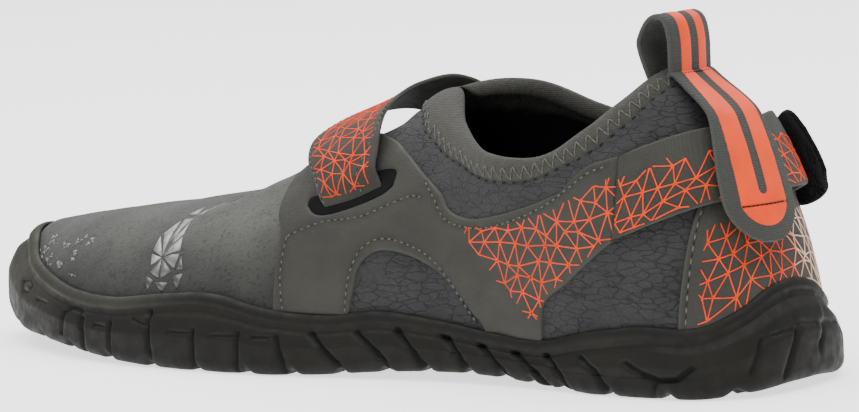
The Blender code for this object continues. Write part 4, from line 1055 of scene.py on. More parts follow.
def ring_normals(ring):
    """Flat inward normals of a closed outline that runs either way round."""
    after, before = np.roll(ring, -1, 0), np.roll(ring, 1, 0)
    run = unit(after - before)
    normal = np.stack([-run[:, 1], run[:, 0]], 1)
    area = 0.5 * np.sum(ring[:, 0] * after[:, 1] - after[:, 0] * ring[:, 1])
    return normal if area > 0 else -normal


OUTLINE_STEP = 0.0008


def close_outline(runs):
    """A closed outline in metres from runs of shares, with even steps and sharp corners between runs."""
    parts = []
    for run in runs:
        line = smooth_run(run) if len(run) > 2 else np.array(run, float)
        parts.append(even_line(line * (LENGTH, INSTEP_HEIGHT), OUTLINE_STEP)[:-1])
    ring = np.vstack(parts)
    keep = np.linalg.norm(ring - np.roll(ring, 1, 0), axis=1) > OUTLINE_STEP * 0.3
    return ring[keep]


def boundary_distance(points, rings):
    """Distance from flat points to the nearest of several closed outlines."""
    best = np.full(len(points), 1e9)
    for ring in rings:
        closed = np.vstack([ring, ring[:1]])
        best = np.minimum(best, segment_distance(points, closed))
    return best


# The rounded edge of an overlay: rings of points this far inside its outline, and how far the rounding reaches
EDGE_INSETS = (0.0, 0.00030, 0.00075)
OVERLAY_ROUND = 0.00070
OVERLAY_SPACING = 0.0014


def inside_rings(points, outline, holes):
    """Which flat points lie in an outline and in none of its holes."""
    within = inside_outline(points, outline)
    for hole in holes:
        within &= ~inside_outline(points, hole)
    return within


def overlay(name, side, outline, holes, thickness, material, slot, nodes, lift, seams=()):
    """A thin sheet with rounded edges on the upper, cut to an outline in the side view."""
    rings = [outline, *holes]
    flat, chains, start = [], [], 0
    for k, ring in enumerate(rings):
        inward = ring_normals(ring) * (1 if k == 0 else -1)
        chains += [(start + i, start + (i + 1) % len(ring)) for i in range(len(ring))]
        flat += [ring + inward * inset for inset in EDGE_INSETS]
        start += len(ring) * len(EDGE_INSETS)
    low, high = outline.min(0), outline.max(0)
    xs, zs = (line.ravel() for line in np.meshgrid(np.arange(low[0], high[0], OVERLAY_SPACING),
                                                   np.arange(low[1], high[1], OVERLAY_SPACING)))
    cloud = np.stack([xs + (np.round(zs / OVERLAY_SPACING) % 2) * OVERLAY_SPACING / 2, zs], 1)
    cloud = cloud[inside_rings(cloud, outline, holes)]
    cloud = cloud[boundary_distance(cloud, rings) > 0.0011]
    flat = np.vstack(flat + [cloud])
    result = delaunay_2d_cdt([Vector(p) for p in flat], chains, [], 0, 1e-7)
    flat = np.array([tuple(p) for p in result[0]])
    triangles = np.array(result[2])
    triangles = triangles[inside_rings(flat[triangles].mean(1), outline, holes)]
    used = np.unique(triangles)
    renumber = np.full(len(flat), -1)
    renumber[used] = np.arange(len(used))
    flat, triangles = flat[used], renumber[triangles]
    places, normals = project(side, flat)
    edge = boundary_distance(flat, rings)
    round_edge = np.sqrt(np.clip(1 - (1 - np.minimum(edge / OVERLAY_ROUND, 1)) ** 2, 0, 1))
    raised = lift(flat)
    top = 0.15 * thickness + 0.85 * thickness * round_edge
    seam_value = np.zeros(len(flat))
    for seam in seams:
        near = segment_distance(flat, seam)
        top = top - 0.00018 * np.exp(-(near / 0.00055) ** 2)
        seam_value = np.maximum(seam_value, np.exp(-(near / 0.0008) ** 2))
    buried = 0.0004 * (1 - smooth_step(raised / 0.0006))
    outer = places + normals * (raised + top)[:, None]
    inner = places + normals * (raised - buried)[:, None]
    count = len(flat)
    pairs = dict.fromkeys((tri[i], tri[(i + 1) % 3]) for tri in triangles for i in range(3))
    faces = [tuple(t) for t in triangles] + [tuple(t[::-1] + count) for t in triangles]
    # a pair that no neighbour runs the other way lies on the rim
    faces += [(b, a, a + count, b + count) for a, b in pairs if (b, a) not in pairs]
    return make_piece(name, np.vstack([outer, inner]), faces, slot, nodes, materials=(material,),
                      edge=np.concatenate([edge, edge]) * 1000, seam=np.concatenate([seam_value, seam_value]))


def overlay_material(name, base):
    """Matt synthetic overlay with a fine pebbled skin and painted shade in its stitch channels."""
    t = Tree(name, base, 0.66, specular=0.18)
    t.raise_by(t.span(t.cells(t.warped(t.place(), 0.5, 0.5), 1.25), 0.0, 0.35), 0.05)
    t.raise_by(t.noise(t.place((0.15, 0.15, 0.15)), 1.0, 3.0), 0.14)
    shade = t.span(t.noise(t.place((0.045, 0.045, 0.07)), 1.0, 4.0), 0.3, 0.7, 0.88, 1.14)
    colour = t.mix(1.0, base, shade, "MULTIPLY")
    # painted shade: darker along the stitch channels
    colour = t.mix(t.math("MULTIPLY", t.value("seam"), 0.5), colour, scaled(base, 0.45))
    paler_edge = t.span(t.value("edge"), 0.0, 0.9, 1.0, 0.0)
    colour = t.mix(t.math("MULTIPLY", paler_edge, 0.35), colour, scaled(base, 1.9))
    rough = t.span(t.noise(t.place((0.2, 0.2, 0.2)), 1.0, 3.0), 0.3, 0.7, 0.55, 0.70)
    return t.done(colour, rough)


def cage_lift(flat):
    """How far the cage's upper flap stands off the instep."""
    along, height = flat[:, 0] / LENGTH, flat[:, 1] / INSTEP_HEIGHT
    front = smooth_step((along + 0.075) / 0.03) * smooth_step((0.075 - along) / 0.05)
    return FLAP_LIFT * front * smooth_step((height - 0.68) / 0.14)


def lines_mm(*lines):
    """Smooth lines in metres through points in millimetres."""
    return [smooth_run(np.array(line) * MM) for line in lines]


# Rows of stitches in the side view, millimetres
CAGE_SEAMS = lines_mm(
    ((-7.6, 36.5), (-7.4, 33.2), (-7.0, 27.3), (-5.6, 20.0), (-4.6, 16.8)),
    ((-7.6, 36.5), (-4.4, 38.0), (2.2, 40.5), (9.0, 41.4), (15.4, 42.6), (22.6, 45.7), (29.0, 48.0), (33.5, 47.6)),
    ((13.6, 17.5), (13.7, 24.9), (14.8, 30.5), (17.1, 34.7), (22.2, 36.9), (29.9, 35.8), (38.3, 32.7), (44.7, 27.5),
     (50.0, 21.4), (54.4, 16.0)),
    ((33.0, 51.6), (37.6, 47.4), (42.6, 42.6), (49.9, 41.2), (57.6, 41.4), (67.6, 43.8), (79.0, 48.2), (87.6, 53.6),
     (92.8, 57.2), (98.0, 59.0)),
)


def make_cages():
    """The overlay with its window, strap slot and stitched channels, on each side."""
    outline, slot = close_outline(CAGE_RUNS), close_outline(SLOT)
    base = outline[:, 0] / LENGTH
    for side, name, holes in ((-1, "cage_medial", [slot]), (1, "cage_lateral", [])):
        ring = outline.copy()
        ring[:, 1] = np.maximum(ring[:, 1], lip_height(side, base) - 0.0012)
        keep = np.linalg.norm(ring - np.roll(ring, 1, 0), axis=1) > 0.0002
        overlay(name + "_sheet", side, ring[keep], holes, CAGE_THICKNESS, overlay_material(name, OVERLAY), "overlay",
                (name,), lambda flat, side=side: cage_lift(flat) if side < 0 else np.zeros(len(flat)), CAGE_SEAMS)
    # painted shade: a dark sheet behind the medial slot stands for the shadow inside it
    middle = slot.mean(0)
    slot_shade_outline = middle + (slot - middle) * (1.04, 1.12)
    overlay("slot_backing", -1, slot_shade_outline, [], 0.0004, INNER, "hook", (), lambda flat: 0.45 * cage_lift(flat))


def resample(control, count_u, count_v):
    """A dense smooth grid through a coarse one, both ways."""
    control = np.asarray(control, float)
    u = np.linspace(0, control.shape[0] - 1, count_u)
    v = np.linspace(0, control.shape[1] - 1, count_v)
    along = np.stack([np.stack([curve(control[:, j, k], u, True) for k in range(3)], -1)
                      for j in range(control.shape[1])], 1)
    return np.stack([np.stack([curve(along[i, :, k], v, True) for k in range(3)], -1)
                     for i in range(count_u)], 0)


# How far from an edge points lie close together, and their shares of that
EDGE_ZONE, EDGE_SHARES = 0.0011, np.array([0.0, 0.08, 0.22, 0.45, 0.72, 1.0])


def edge_steps(count, total):
    """Shares of a width that lie close together near both edges."""
    near = EDGE_SHARES * EDGE_ZONE / total
    middle = np.linspace(EDGE_ZONE / total, 1 - EDGE_ZONE / total, count)[1:-1]
    return np.concatenate([near, middle, 1 - near[::-1]])


def sample(block, iu, iv):
    """Values between the points of a grid."""
    a = np.clip(iu.astype(int), 0, block.shape[0] - 2)
    b = np.clip(iv.astype(int), 0, block.shape[1] - 2)
    p, q = (iu - a)[..., None], (iv - b)[..., None]
    return (block[a, b] * (1 - p) * (1 - q) + block[a + 1, b] * p * (1 - q)
            + block[a, b + 1] * (1 - p) * q + block[a + 1, b + 1] * p * q)


# A point inside the shoe, from which the bands face away
INSIDE = (0.060, 0.0, 0.030)


class Band3D:
    """A bent band: a grid of places with normals, lengths along (u) and across (v), and distance from the edge."""

    def __init__(self, grid, inside=INSIDE):
        self.grid = grid
        self.normal = unit(np.cross(np.gradient(grid, axis=0), np.gradient(grid, axis=1)))
        if np.sum((grid - np.asarray(inside)) * self.normal) < 0:
            self.normal = -self.normal
        run_u = np.linalg.norm(np.diff(grid, axis=0), axis=2)
        run_v = np.linalg.norm(np.diff(grid, axis=1), axis=2)
        self.u = np.concatenate([np.zeros((1, grid.shape[1])), np.cumsum(run_u, 0)], 0)
        self.v = np.concatenate([np.zeros((grid.shape[0], 1)), np.cumsum(run_v, 1)], 1)
        self.edge = np.minimum(np.minimum(self.u, self.u[-1:] - self.u), np.minimum(self.v, self.v[:, -1:] - self.v))
        # lengths along its middle lines, to which flat places refer
        self.mid_u, self.mid_v = self.u[:, self.u.shape[1] // 2], self.v[self.v.shape[0] // 2]

    def surface(self, out, relief=None):
        """A function that gives places and normals at distances along and across the band."""
        def places(flat):
            iu = np.interp(flat[:, 0], self.mid_u, np.arange(len(self.mid_u)))
            iv = np.interp(flat[:, 1], self.mid_v, np.arange(len(self.mid_v)))
            normal = unit(sample(self.normal, iu, iv))
            lift = out if relief is None else out + sample(relief[..., None], iu, iv)
            return sample(self.grid, iu, iv) + normal * lift, normal
        return places


FINE_ALONG_BAND, FINE_ACROSS_BAND = 160, 40


def bend(control, count_u, count_v):
    """A band through a coarse grid of points, with its own points close together near the edges."""
    fine = resample(control, FINE_ALONG_BAND, FINE_ACROSS_BAND)
    length = np.linalg.norm(np.diff(fine[:, FINE_ACROSS_BAND // 2], axis=0), axis=1).sum()
    width = np.linalg.norm(np.diff(fine[FINE_ALONG_BAND // 2], axis=0), axis=1).sum()
    iu = edge_steps(count_u, length) * (FINE_ALONG_BAND - 1)
    iv = edge_steps(count_v, width) * (FINE_ACROSS_BAND - 1)
    return Band3D(sample(fine, iu[:, None] + 0 * iv[None], iv[None, :] + 0 * iu[:, None]))


def slab(name, band, thickness, material, slot, nodes, relief=0.0, centred=False, ripple=0.0, **values):
    """A closed band with rounded edges on a grid of places; values lie on its outer face."""
    roundness = np.sqrt(np.clip(1 - (1 - np.minimum(band.edge / (thickness * 0.62), 1)) ** 2, 0, 1))
    half = thickness / 2
    centre = (0.0 if centred else half) + ripple * wavy(band.grid, 0.010)
    swell = half * (0.12 + 0.88 * roundness)
    outer = band.grid + band.normal * (centre + swell + relief)[..., None]
    inner = band.grid + band.normal * (centre - swell)[..., None]
    nu, nv = band.edge.shape
    count = nu * nv
    quads = grid_faces(nu, nv)
    index = np.arange(count).reshape(nu, nv)
    ring = np.concatenate([index[:, 0], index[-1, 1:], index[-2::-1, -1], index[0, -2:0:-1]])
    after = np.roll(ring, -1)
    faces = [quads, quads[:, ::-1] + count, np.stack([after, ring, ring + count, after + count], 1)]
    data = {key: np.concatenate([np.ravel(value), np.zeros(count)]) for key, value in values.items()}
    data["edge"] = np.concatenate([band.edge.ravel(), band.edge.ravel()]) * 1000
    return make_piece(name, np.vstack([outer.reshape(-1, 3), inner.reshape(-1, 3)]), np.vstack(faces), slot, nodes,
                      materials=(material,), merge=MERGE, **data)


# Coarse columns of points across each band
ACROSS_BAND = 9


def band_control(rows):
    """Coarse columns across a band from a table of its two edges and its lift."""
    columns = []
    for station in rows:
        low = place_at(station.side, LENGTH * station.low_along, INSTEP_HEIGHT * station.low)
        high = place_at(station.side, LENGTH * station.high_along, INSTEP_HEIGHT * station.high)
        part = np.linspace(0, 1, ACROSS_BAND)
        row, share = low[0] + (high[0] - low[0]) * part, low[1] + (high[1] - low[1]) * part
        columns.append(off_skin(station.side, row, share, np.full(ACROSS_BAND, station.lift)))
    return np.array(columns)


def cross_control(rows):
    """Coarse columns across the instep strap, from its front edge to its rear edge."""
    columns = []
    for station in rows:
        side = -1 if station.wrap < 0 else 1
        along = np.linspace(station.front, station.rear, ACROSS_BAND)
        share = np.full(ACROSS_BAND, 1 - abs(station.wrap))
        columns.append(off_skin(side, row_of(along), share, np.full(ACROSS_BAND, station.lift)))
    return np.array(columns)


def knit_band_material(name, base):
    """Flat stretch band: fine ribs across, felted, a little paler along its edges."""
    t = Tree(name, base, 0.8, sheen=0.06, specular=0.15)
    ribs = t.math("MULTIPLY", t.wave(t.place((1, 1, 1), (0.5, 0.3, 0.4)), 0.62, "X", 0.6),
                  t.wave(t.place((1, 1, 1), (0.2, 0.6, 0.1)), 0.62, "Z", 0.6))
    t.raise_by(ribs, 0.10)
    t.raise_by(t.noise(t.place((0.25, 0.25, 0.25)), 1.0, 3.0), 0.14)
    shade = t.span(t.noise(t.place((0.07, 0.07, 0.07)), 1.0, 4.0), 0.3, 0.7, 0.86, 1.15)
    colour = t.mix(1.0, t.mix(ribs, scaled(base, 0.86), scaled(base, 1.12)), shade, "MULTIPLY")
    paler_edge = t.span(t.value("edge"), 0.0, 1.0, 1.0, 0.0)
    colour = t.mix(t.math("MULTIPLY", paler_edge, 0.35), colour, scaled(base, 1.7))
    return t.done(colour)


def hook_material():
    """Black hook-and-loop cloth with a short dense pile."""
    t = Tree("hook_cloth", HOOK, 0.9, sheen=0.03, specular=0.06)
    pile = t.cells(t.place(), 1.1, "F1")
    t.raise_by(t.math("SUBTRACT", 1.0, pile), 0.35)
    t.raise_by(t.noise(t.place((0.3, 0.3, 0.3)), 1.0, 3.0), 0.2)
    return t.done(t.mix(pile, scaled(HOOK, 1.5), scaled(HOOK, 0.5)))


def striped_material(name):
    """Webbing with woven ribs and two raised rubbery stripes."""
    t = Tree(name, WEBBING, 0.78, sheen=0.05, specular=0.18)
    stripe = t.value("stripe")
    plain = t.math("SUBTRACT", 1.0, stripe)
    weave = t.math("MULTIPLY", t.wave(t.place(), 0.60, "Y", 0.3), t.wave(t.place(), 0.50, "Z", 0.5))
    t.raise_by(t.math("MULTIPLY", weave, plain), 0.14)
    t.raise_by(t.noise(t.place((0.4, 0.4, 0.4)), 1.0, 3.0), 0.06)
    cloth = t.mix(weave, scaled(WEBBING, 0.78), scaled(WEBBING, 1.15))
    shade = t.span(t.noise(t.place((0.08, 0.08, 0.08)), 1.0, 3.0), 0.3, 0.7, 0.90, 1.08)
    orange = t.mix(1.0, ORANGE, shade, "MULTIPLY")
    colour = t.mix(t.span(stripe, 0.35, 0.65), cloth, orange)
    paler_edge = t.span(t.value("edge"), 0.0, 0.8, 1.0, 0.0)
    colour = t.mix(t.math("MULTIPLY", paler_edge, 0.3), colour, scaled(WEBBING, 1.8))
    rough = t.math("SUBTRACT", 0.80, t.math("MULTIPLY", stripe, 0.26))
    return t.done(colour, rough)


def print_material():
    """Slightly raised ink: orange, turned pale round the heel by painted glare."""
    t = Tree("ink_orange", ORANGE, 0.55, specular=0.15)
    t.raise_by(t.noise(t.place(), 1.2, 3.0), 0.03)
    shade = t.span(t.noise(t.place((0.15, 0.15, 0.15)), 1.0, 3.0), 0.3, 0.7, 0.85, 1.10)
    # painted glare: the orange turns pale where the glare value is high
    colour = t.mix(1.0, t.mix(t.value("pale"), ORANGE, PAINTED_GLARE), shade, "MULTIPLY")
    return t.done(colour)


def silver_material():
    """Grey reflective ink."""
    t = Tree("ink_silver", SILVER, 0.38, specular=0.6)
    t.raise_by(t.noise(t.place(), 1.5, 3.0), 0.04)
    speck = t.span(t.noise(t.place((0.5, 0.5, 0.5)), 1.0, 4.0), 0.35, 0.65, 0.55, 1.05)
    return t.done(t.mix(1.0, t.mix(t.value("faint"), SILVER, scaled(VAMP, 0.45)), speck, "MULTIPLY"))


def thread_material(name, base):
    """Twisted sewing thread."""
    t = Tree(name, base, 0.7, sheen=0.03, specular=0.15)
    twist = t.wave(t.place((1, 1, 1), (0.6, 0.2, 0.8)), 1.4, "X", 0.5)
    t.raise_by(twist, 0.05)
    return t.done(t.mix(twist, scaled(base, 0.72), scaled(base, 1.15)))


# A printed line: its height, how deep its foot sits, and how much narrower its top is
INK_HEIGHT, INK_SINK, INK_TOP = 0.00012, 0.00015, 0.85


def strips(name, lines, material, slot, pale):
    """Thin raised strips, each through places with normals and half widths, as one closed mesh."""
    points, faces, start, pales = [], [], 0, []
    for (places, normals, halves), paleness in zip(lines, pale):
        run = unit(np.gradient(places, axis=0))
        across = unit(np.cross(run, normals)) * halves[:, None]
        lift, sink = normals * INK_HEIGHT, normals * INK_SINK
        ring = np.stack([places - across - sink, places - across * INK_TOP + lift, places + across * INK_TOP + lift,
                         places + across - sink], 1)
        count = len(places)
        points.append(ring.reshape(-1, 3))
        for i in range(count - 1):
            a, b = start + 4 * i, start + 4 * (i + 1)
            faces += [(a + j, b + j, b + (j + 1) % 4, a + (j + 1) % 4) for j in range(4)]
        faces += [(start + 3, start + 2, start + 1, start), tuple(start + 4 * (count - 1) + j for j in range(4))]
        pales += [paleness] * (4 * count)
        start += 4 * count
    make_piece(name, np.vstack(points), faces, slot, materials=(material,), pale=pales)


# A net's spacing and the width of its lines in metres, and the seed of its pattern
Net = namedtuple("Net", "spacing width seed")
NET_JITTER = 0.30
# Points that each edge is tried at against the outline, how many have to lie inside, and points of its line
EDGE_TRIES, EDGE_HELD, EDGE_POINTS = 41, 15, 8


def net(outline, spacing, seed):
    """Nodes and edges of a net of triangles that covers an outline, the same each run."""
    chance = random.Random(seed)
    low, high = outline.min(0) - spacing, outline.max(0) + spacing
    nodes = []
    step_z = spacing * 0.87
    for j in range(int((high[1] - low[1]) / step_z) + 1):
        for i in range(int((high[0] - low[0]) / spacing) + 1):
            x = low[0] + spacing * (i + 0.5 * (j % 2)) + chance.uniform(-NET_JITTER, NET_JITTER) * spacing
            nodes.append((x, low[1] + step_z * j + chance.uniform(-NET_JITTER, NET_JITTER) * spacing))
    result = delaunay_2d_cdt([Vector(p) for p in nodes], [], [], 0, 1e-7)
    nodes = np.array([tuple(p) for p in result[0]])
    return nodes, sorted({tuple(sorted((tri[i], tri[(i + 1) % 3]))) for tri in result[2] for i in range(3)})


def printed_net(name, outline, surface, pattern, slot, glare_at=lambda a, b: 0.0):
    """A printed net of triangles on a surface, cut off at an outline, with swollen nodes."""
    outline = np.array(outline)
    nodes, edges = net(outline, pattern.spacing, pattern.seed)
    steps = np.linspace(0, 1, EDGE_TRIES)
    flats, halves, pale = [], [], []
    for a, b in edges:
        held = inside_outline(nodes[a] * (1 - steps[:, None]) + nodes[b] * steps[:, None], outline)
        if held.sum() < EDGE_HELD:
            continue
        first, last = np.flatnonzero(held)[[0, -1]]
        if not held[first:last + 1].all():
            continue
        at = np.linspace(first, last, EDGE_POINTS) / (EDGE_TRIES - 1)
        flats.append(nodes[a] * (1 - at[:, None]) + nodes[b] * at[:, None])
        halves.append(pattern.width / 2 * (0.80 + 0.75 * np.abs(2 * at - 1) ** 6))
        pale.append(glare_at(nodes[a], nodes[b]))
    places, normals = surface(np.vstack(flats))
    shape = (len(flats), EDGE_POINTS, 3)
    strips(name, zip(places.reshape(shape), normals.reshape(shape), halves), INK, slot, pale)


THREAD_SIDES, THREAD_RINGS = 6, 6


def threads(name, runs, radius, material, slot, bend=0.35):
    """Short threads from place to place, each dipping into the cloth at its ends, as one mesh."""
    points, faces, start = [], [], 0
    for a, b, normal in runs:
        a, b, normal = np.array(a), np.array(b), np.array(normal)
        run = b - a
        length = np.linalg.norm(run)
        run = run / max(length, 1e-9)
        across = np.cross(run, normal)
        for i in range(THREAD_RINGS):
            s = -1 + 2 * i / (THREAD_RINGS - 1)
            r = radius * max(1 - s ** 4, 0.10) ** 0.5
            centre = (a + b) / 2 + run * (s * length / 2) + normal * radius * (bend - 1.1 * s ** 4)
            for j in range(THREAD_SIDES):
                turn = 2 * math.pi * j / THREAD_SIDES
                points.append(centre + across * (r * math.cos(turn)) + normal * (r * math.sin(turn)))
        for i in range(THREAD_RINGS - 1):
            p = start + i * THREAD_SIDES
            for j in range(THREAD_SIDES):
                k = (j + 1) % THREAD_SIDES
                faces.append((p + j, p + k, p + THREAD_SIDES + k, p + THREAD_SIDES + j))
        last = start + (THREAD_RINGS - 1) * THREAD_SIDES
        faces.append(tuple(start + j for j in reversed(range(THREAD_SIDES))))
        faces.append(tuple(last + j for j in range(THREAD_SIDES)))
        start = last + THREAD_SIDES
    make_piece(name, np.array(points), faces, slot, materials=(material,))


INK, SILVER_INK = print_material(), silver_material()
SEWING, DARK_THREAD_AND_HOLE_SHADE = thread_material("thread_grey", THREAD), thread_material("thread_dark", DARK)
# A row of stitches: from stitch to stitch, a stitch's share of that, where a hole ends, and the thread's radius
PITCH, STITCH_SHARE, HOLE_END, THREAD_RADIUS = 0.0021, 0.52, 0.96, 0.00023


def sew(word, lines, surface, slot, thread=SEWING, pitch=PITCH, share=STITCH_SHARE, radius=THREAD_RADIUS):
    """Rows of stitches along flat lines on a surface, with short dark threads between them as painted shade of the
    needle holes.
    """
    stitches, holes = [], []
    for line in lines:
        line = even_line(line, pitch)
        start, step = line[:-1], line[1:] - line[:-1]
        (first, up), (end, up_end), (next_hole, _) = (surface(start + step * part) for part in (0.0, share, HOLE_END))
        stitches += zip(first, end, up)
        holes += zip(end, next_hole, up_end)
    threads("stitches_" + word, stitches, radius, thread, slot)
    # painted shade: short dark threads between the stitches stand for the shade in the needle holes
    threads("holes_" + word, holes, radius * 0.9, DARK_THREAD_AND_HOLE_SHADE, slot, bend=-0.1)


def on_cage(side, raised):
    """Surface function of the cage's outside."""
    def surface(flat):
        places, normals = project(side, flat)
        lift = cage_lift(flat) if side < 0 else 0.0
        return places + normals * np.reshape(lift + raised, (-1, 1)), normals
    return surface


CAGE_PRINT = np.array((
    (49.0, 41.2), (53.5, 36.4), (57.4, 33.2), (61.9, 28.0), (66.6, 24.2), (71.0, 19.8), (74.5, 16.2), (76.2, 20.6),
    (79.4, 25.2), (85.2, 29.3), (91.0, 33.8), (98.4, 39.8), (101.4, 41.0), (101.4, 57.5), (97.0, 55.0), (88.8, 50.9),
    (80.7, 46.9), (71.5, 44.2), (61.7, 42.0), (55.0, 41.4),
)) * MM

# The ink lies a little below the cage's outside, and the stitches lie in their channels
INK_DEPTH, CHANNEL_DEPTH = 0.0001, 0.00022
CAGE_NETS = {-1: Net(0.0050, 0.00047, 5), 1: Net(0.0050, 0.00047, 11)}


def make_cage_trim():
    """Stitches and printed nets on both cages."""
    for side, word in ((-1, "medial"), (1, "lateral")):
        sew(word, CAGE_SEAMS, on_cage(side, CAGE_THICKNESS - CHANNEL_DEPTH), "overlay")
        printed_net("net_cage_" + word, CAGE_PRINT, on_cage(side, CAGE_THICKNESS - INK_DEPTH), CAGE_NETS[side],
                    "overlay")


# The zigzag seam ends at this row, short of the loop; its legs' step along the collar and how far it swings up
ZIGZAG_END, ZIGZAG_STEP, ZIGZAG_SWING = 15.75, 0.0018, (0.0002, 0.0036)


def make_zigzag():
    """The zigzag seam round the collar."""
    rows = np.linspace(ZIG_ROWS[0], ZIGZAG_END, 400)
    runs, dark = [], []
    for side in BOTH:
        line = skin(side, rows, np.interp(rows, ZIG_ROWS, ZIG_SHARES))
        length = np.concatenate([[0], np.cumsum(np.linalg.norm(np.diff(line, axis=0), axis=1))])
        count = int(length[-1] / ZIGZAG_STEP)
        at = np.interp(np.linspace(0, length[-1], count), length, rows)
        share = np.interp(at, ZIG_ROWS, ZIG_SHARES)
        here, normal = skin(side, at, share), outward(side, at, np.minimum(share, 0.99))
        up = unit(skin(side, at, np.minimum(share + 0.03, 1.0)) - here + 1e-9)
        places = here + up * np.where(np.arange(count) % 2 == 0, *ZIGZAG_SWING)[:, None]
        fine = np.empty((2 * count - 1, 3))
        fine[::2], fine[1::2] = places, (places[:-1] + places[1:]) / 2
        facing = np.repeat(normal, 2, 0)[:2 * count - 1]
        fine = settle(fine, facing, 0.00014)
        runs += zip(fine[:-1], fine[1:], facing)
        # painted shade: short dark threads below the zigzag stand for the shade in its needle holes
        low = settle(here[::2] - up[::2] * 0.0006, normal[::2], 0.00002)
        dark += zip(low[:-1], low[:-1] + (low[1:] - low[:-1]) * 0.45, normal[::2])
    threads("collar_holes", dark, 0.00022, DARK_THREAD_AND_HOLE_SHADE, "upper_cloth")
    threads("zigzag_seam", runs, 0.00021, thread_material("thread_collar", scaled(THREAD, 0.9)), "upper_cloth")


def settle(places, normals, out):
    """Moves places onto the shaped cloth, a little proud of it."""
    moved = []
    for place, normal in zip(places, normals):
        hit = CLOTH_TREE.ray_cast(Vector(place + normal * 0.004), Vector(-normal), 0.012)
        moved.append((place if hit[0] is None else np.array(hit[0])) + normal * out)
    return np.array(moved)


STAR_NODE = (-52.3, 29.3)
# Wedges round the node in the side view: two corners in millimetres and how faint the ink is
STAR_WEDGES = (
    ((-55.9, 27.2), (-57.5, 30.2), 0.10), ((-57.7, 30.9), (-58.2, 34.6), 0.0), ((-57.8, 35.2), (-55.6, 38.6), 0.0),
    ((-54.8, 38.9), (-50.6, 38.9), 0.15), ((-50.1, 38.2), (-48.0, 34.8), 0.0), ((-47.6, 34.2), (-45.6, 30.9), 0.0),
    ((-45.4, 30.3), (-45.6, 26.4), 0.60), ((-46.2, 25.8), (-49.8, 23.8), 0.78), ((-50.4, 23.8), (-55.0, 25.2), 0.70),
)
STAR_SHARDS = (
    (((-55.2, 39.4), (-51.6, 39.6), (-52.6, 41.2)), 0.20), (((-51.0, 39.4), (-48.3, 39.2), (-48.0, 41.6)), 0.15),
    (((-47.6, 39.9), (-44.0, 42.3), (-47.2, 42.4)), 0.55), (((-43.3, 42.4), (-38.0, 44.4), (-42.4, 43.9)), 0.75),
    (((-37.0, 44.6), (-31.0, 46.0), (-35.0, 45.8)), 0.88), (((-51.6, 22.9), (-46.8, 23.0), (-48.0, 20.2)), 0.90),
    (((-55.6, 24.4), (-52.4, 23.3), (-53.6, 20.4)), 0.93), (((-46.0, 24.8), (-42.0, 25.6), (-42.6, 21.4)), 0.94),
    (((-44.6, 29.6), (-42.4, 26.6), (-44.8, 26.4)), 0.85),
)
# Where flecks lie by the toes, and how many
FLECKS = (((-111.5, 26.5), 2.6, 9), ((-107.0, 29.5), 2.8, 8), ((-103.5, 25.0), 3.4, 9), ((-98.0, 29.5), 2.6, 5),
          ((-93.0, 31.0), 2.4, 5), ((-96.5, 24.0), 3.2, 6), ((-90.0, 26.8), 2.6, 4), ((-85.5, 30.6), 2.2, 3),
          ((-88.5, 22.5), 2.4, 3))


def make_shards():
    """A star of reflective ink by the ball and flecks by the toes."""
    chance = random.Random(17)
    points, faces, faint = [], [], []

    def shard(corners, faintness):
        """A flat triangle in the side view, with points on its sides and in its middle, on the cloth."""
        corners = np.array(corners)
        after = np.roll(corners, -1, 0)
        fine = np.vstack([np.stack([corners, (corners + after) / 2], 1).reshape(-1, 2), corners.mean(0)])
        places, normals = project(-1, fine * MM)
        start = len(points)
        points.extend(settle(places, normals, -0.0001))
        points.extend(settle(places, normals, 0.00014))
        faint.extend([faintness] * 14)
        for i in range(6):
            j = (i + 1) % 6
            faces.append((start + 7 + i, start + 7 + j, start + 13))
            faces.append((start + j, start + i, start + 6))
            faces.append((start + i, start + j, start + 7 + j, start + 7 + i))

    for a, b, faintness in STAR_WEDGES:
        wedge = np.array((STAR_NODE, a, b))
        middle = wedge.mean(0)
        shard(middle + (wedge - middle) * 0.90, faintness)
    for corners, faintness in STAR_SHARDS:
        shard(corners, faintness)
    for (x, z), spread, count in FLECKS:
        for _ in range(count):
            middle = np.array((x + chance.gauss(0, spread * 0.6), z + chance.gauss(0, spread * 0.35)))
            size, turn = chance.uniform(0.3, 0.95), chance.uniform(-0.5, 0.9)
            shard([middle + size * np.array((math.cos(turn + k * 2.1) * 1.5, math.sin(turn + k * 2.1) * 0.8))
                   for k in range(3)], chance.uniform(0.35, 0.85))
    make_piece("shards", np.array(points), faces, "upper_cloth", materials=(SILVER_INK,), faint=faint)


def glare(share):
    """How much painted glare turns the ink pale at a share of the way round the heel."""
    return float(smooth_step((share - 0.42) / 0.12) * smooth_step((0.80 - share) / 0.12))


# Foot of the counter's front edge and how far it leans back, and how far its rubber covers it
COUNTER_FOOT, COUNTER_LEAN = (0.1180, 0.0165), 0.0018
UNDER_LIP = 0.0012
HEEL_NET = Net(0.0047, 0.00045, 3)
HEEL_SEAM = 0.0017


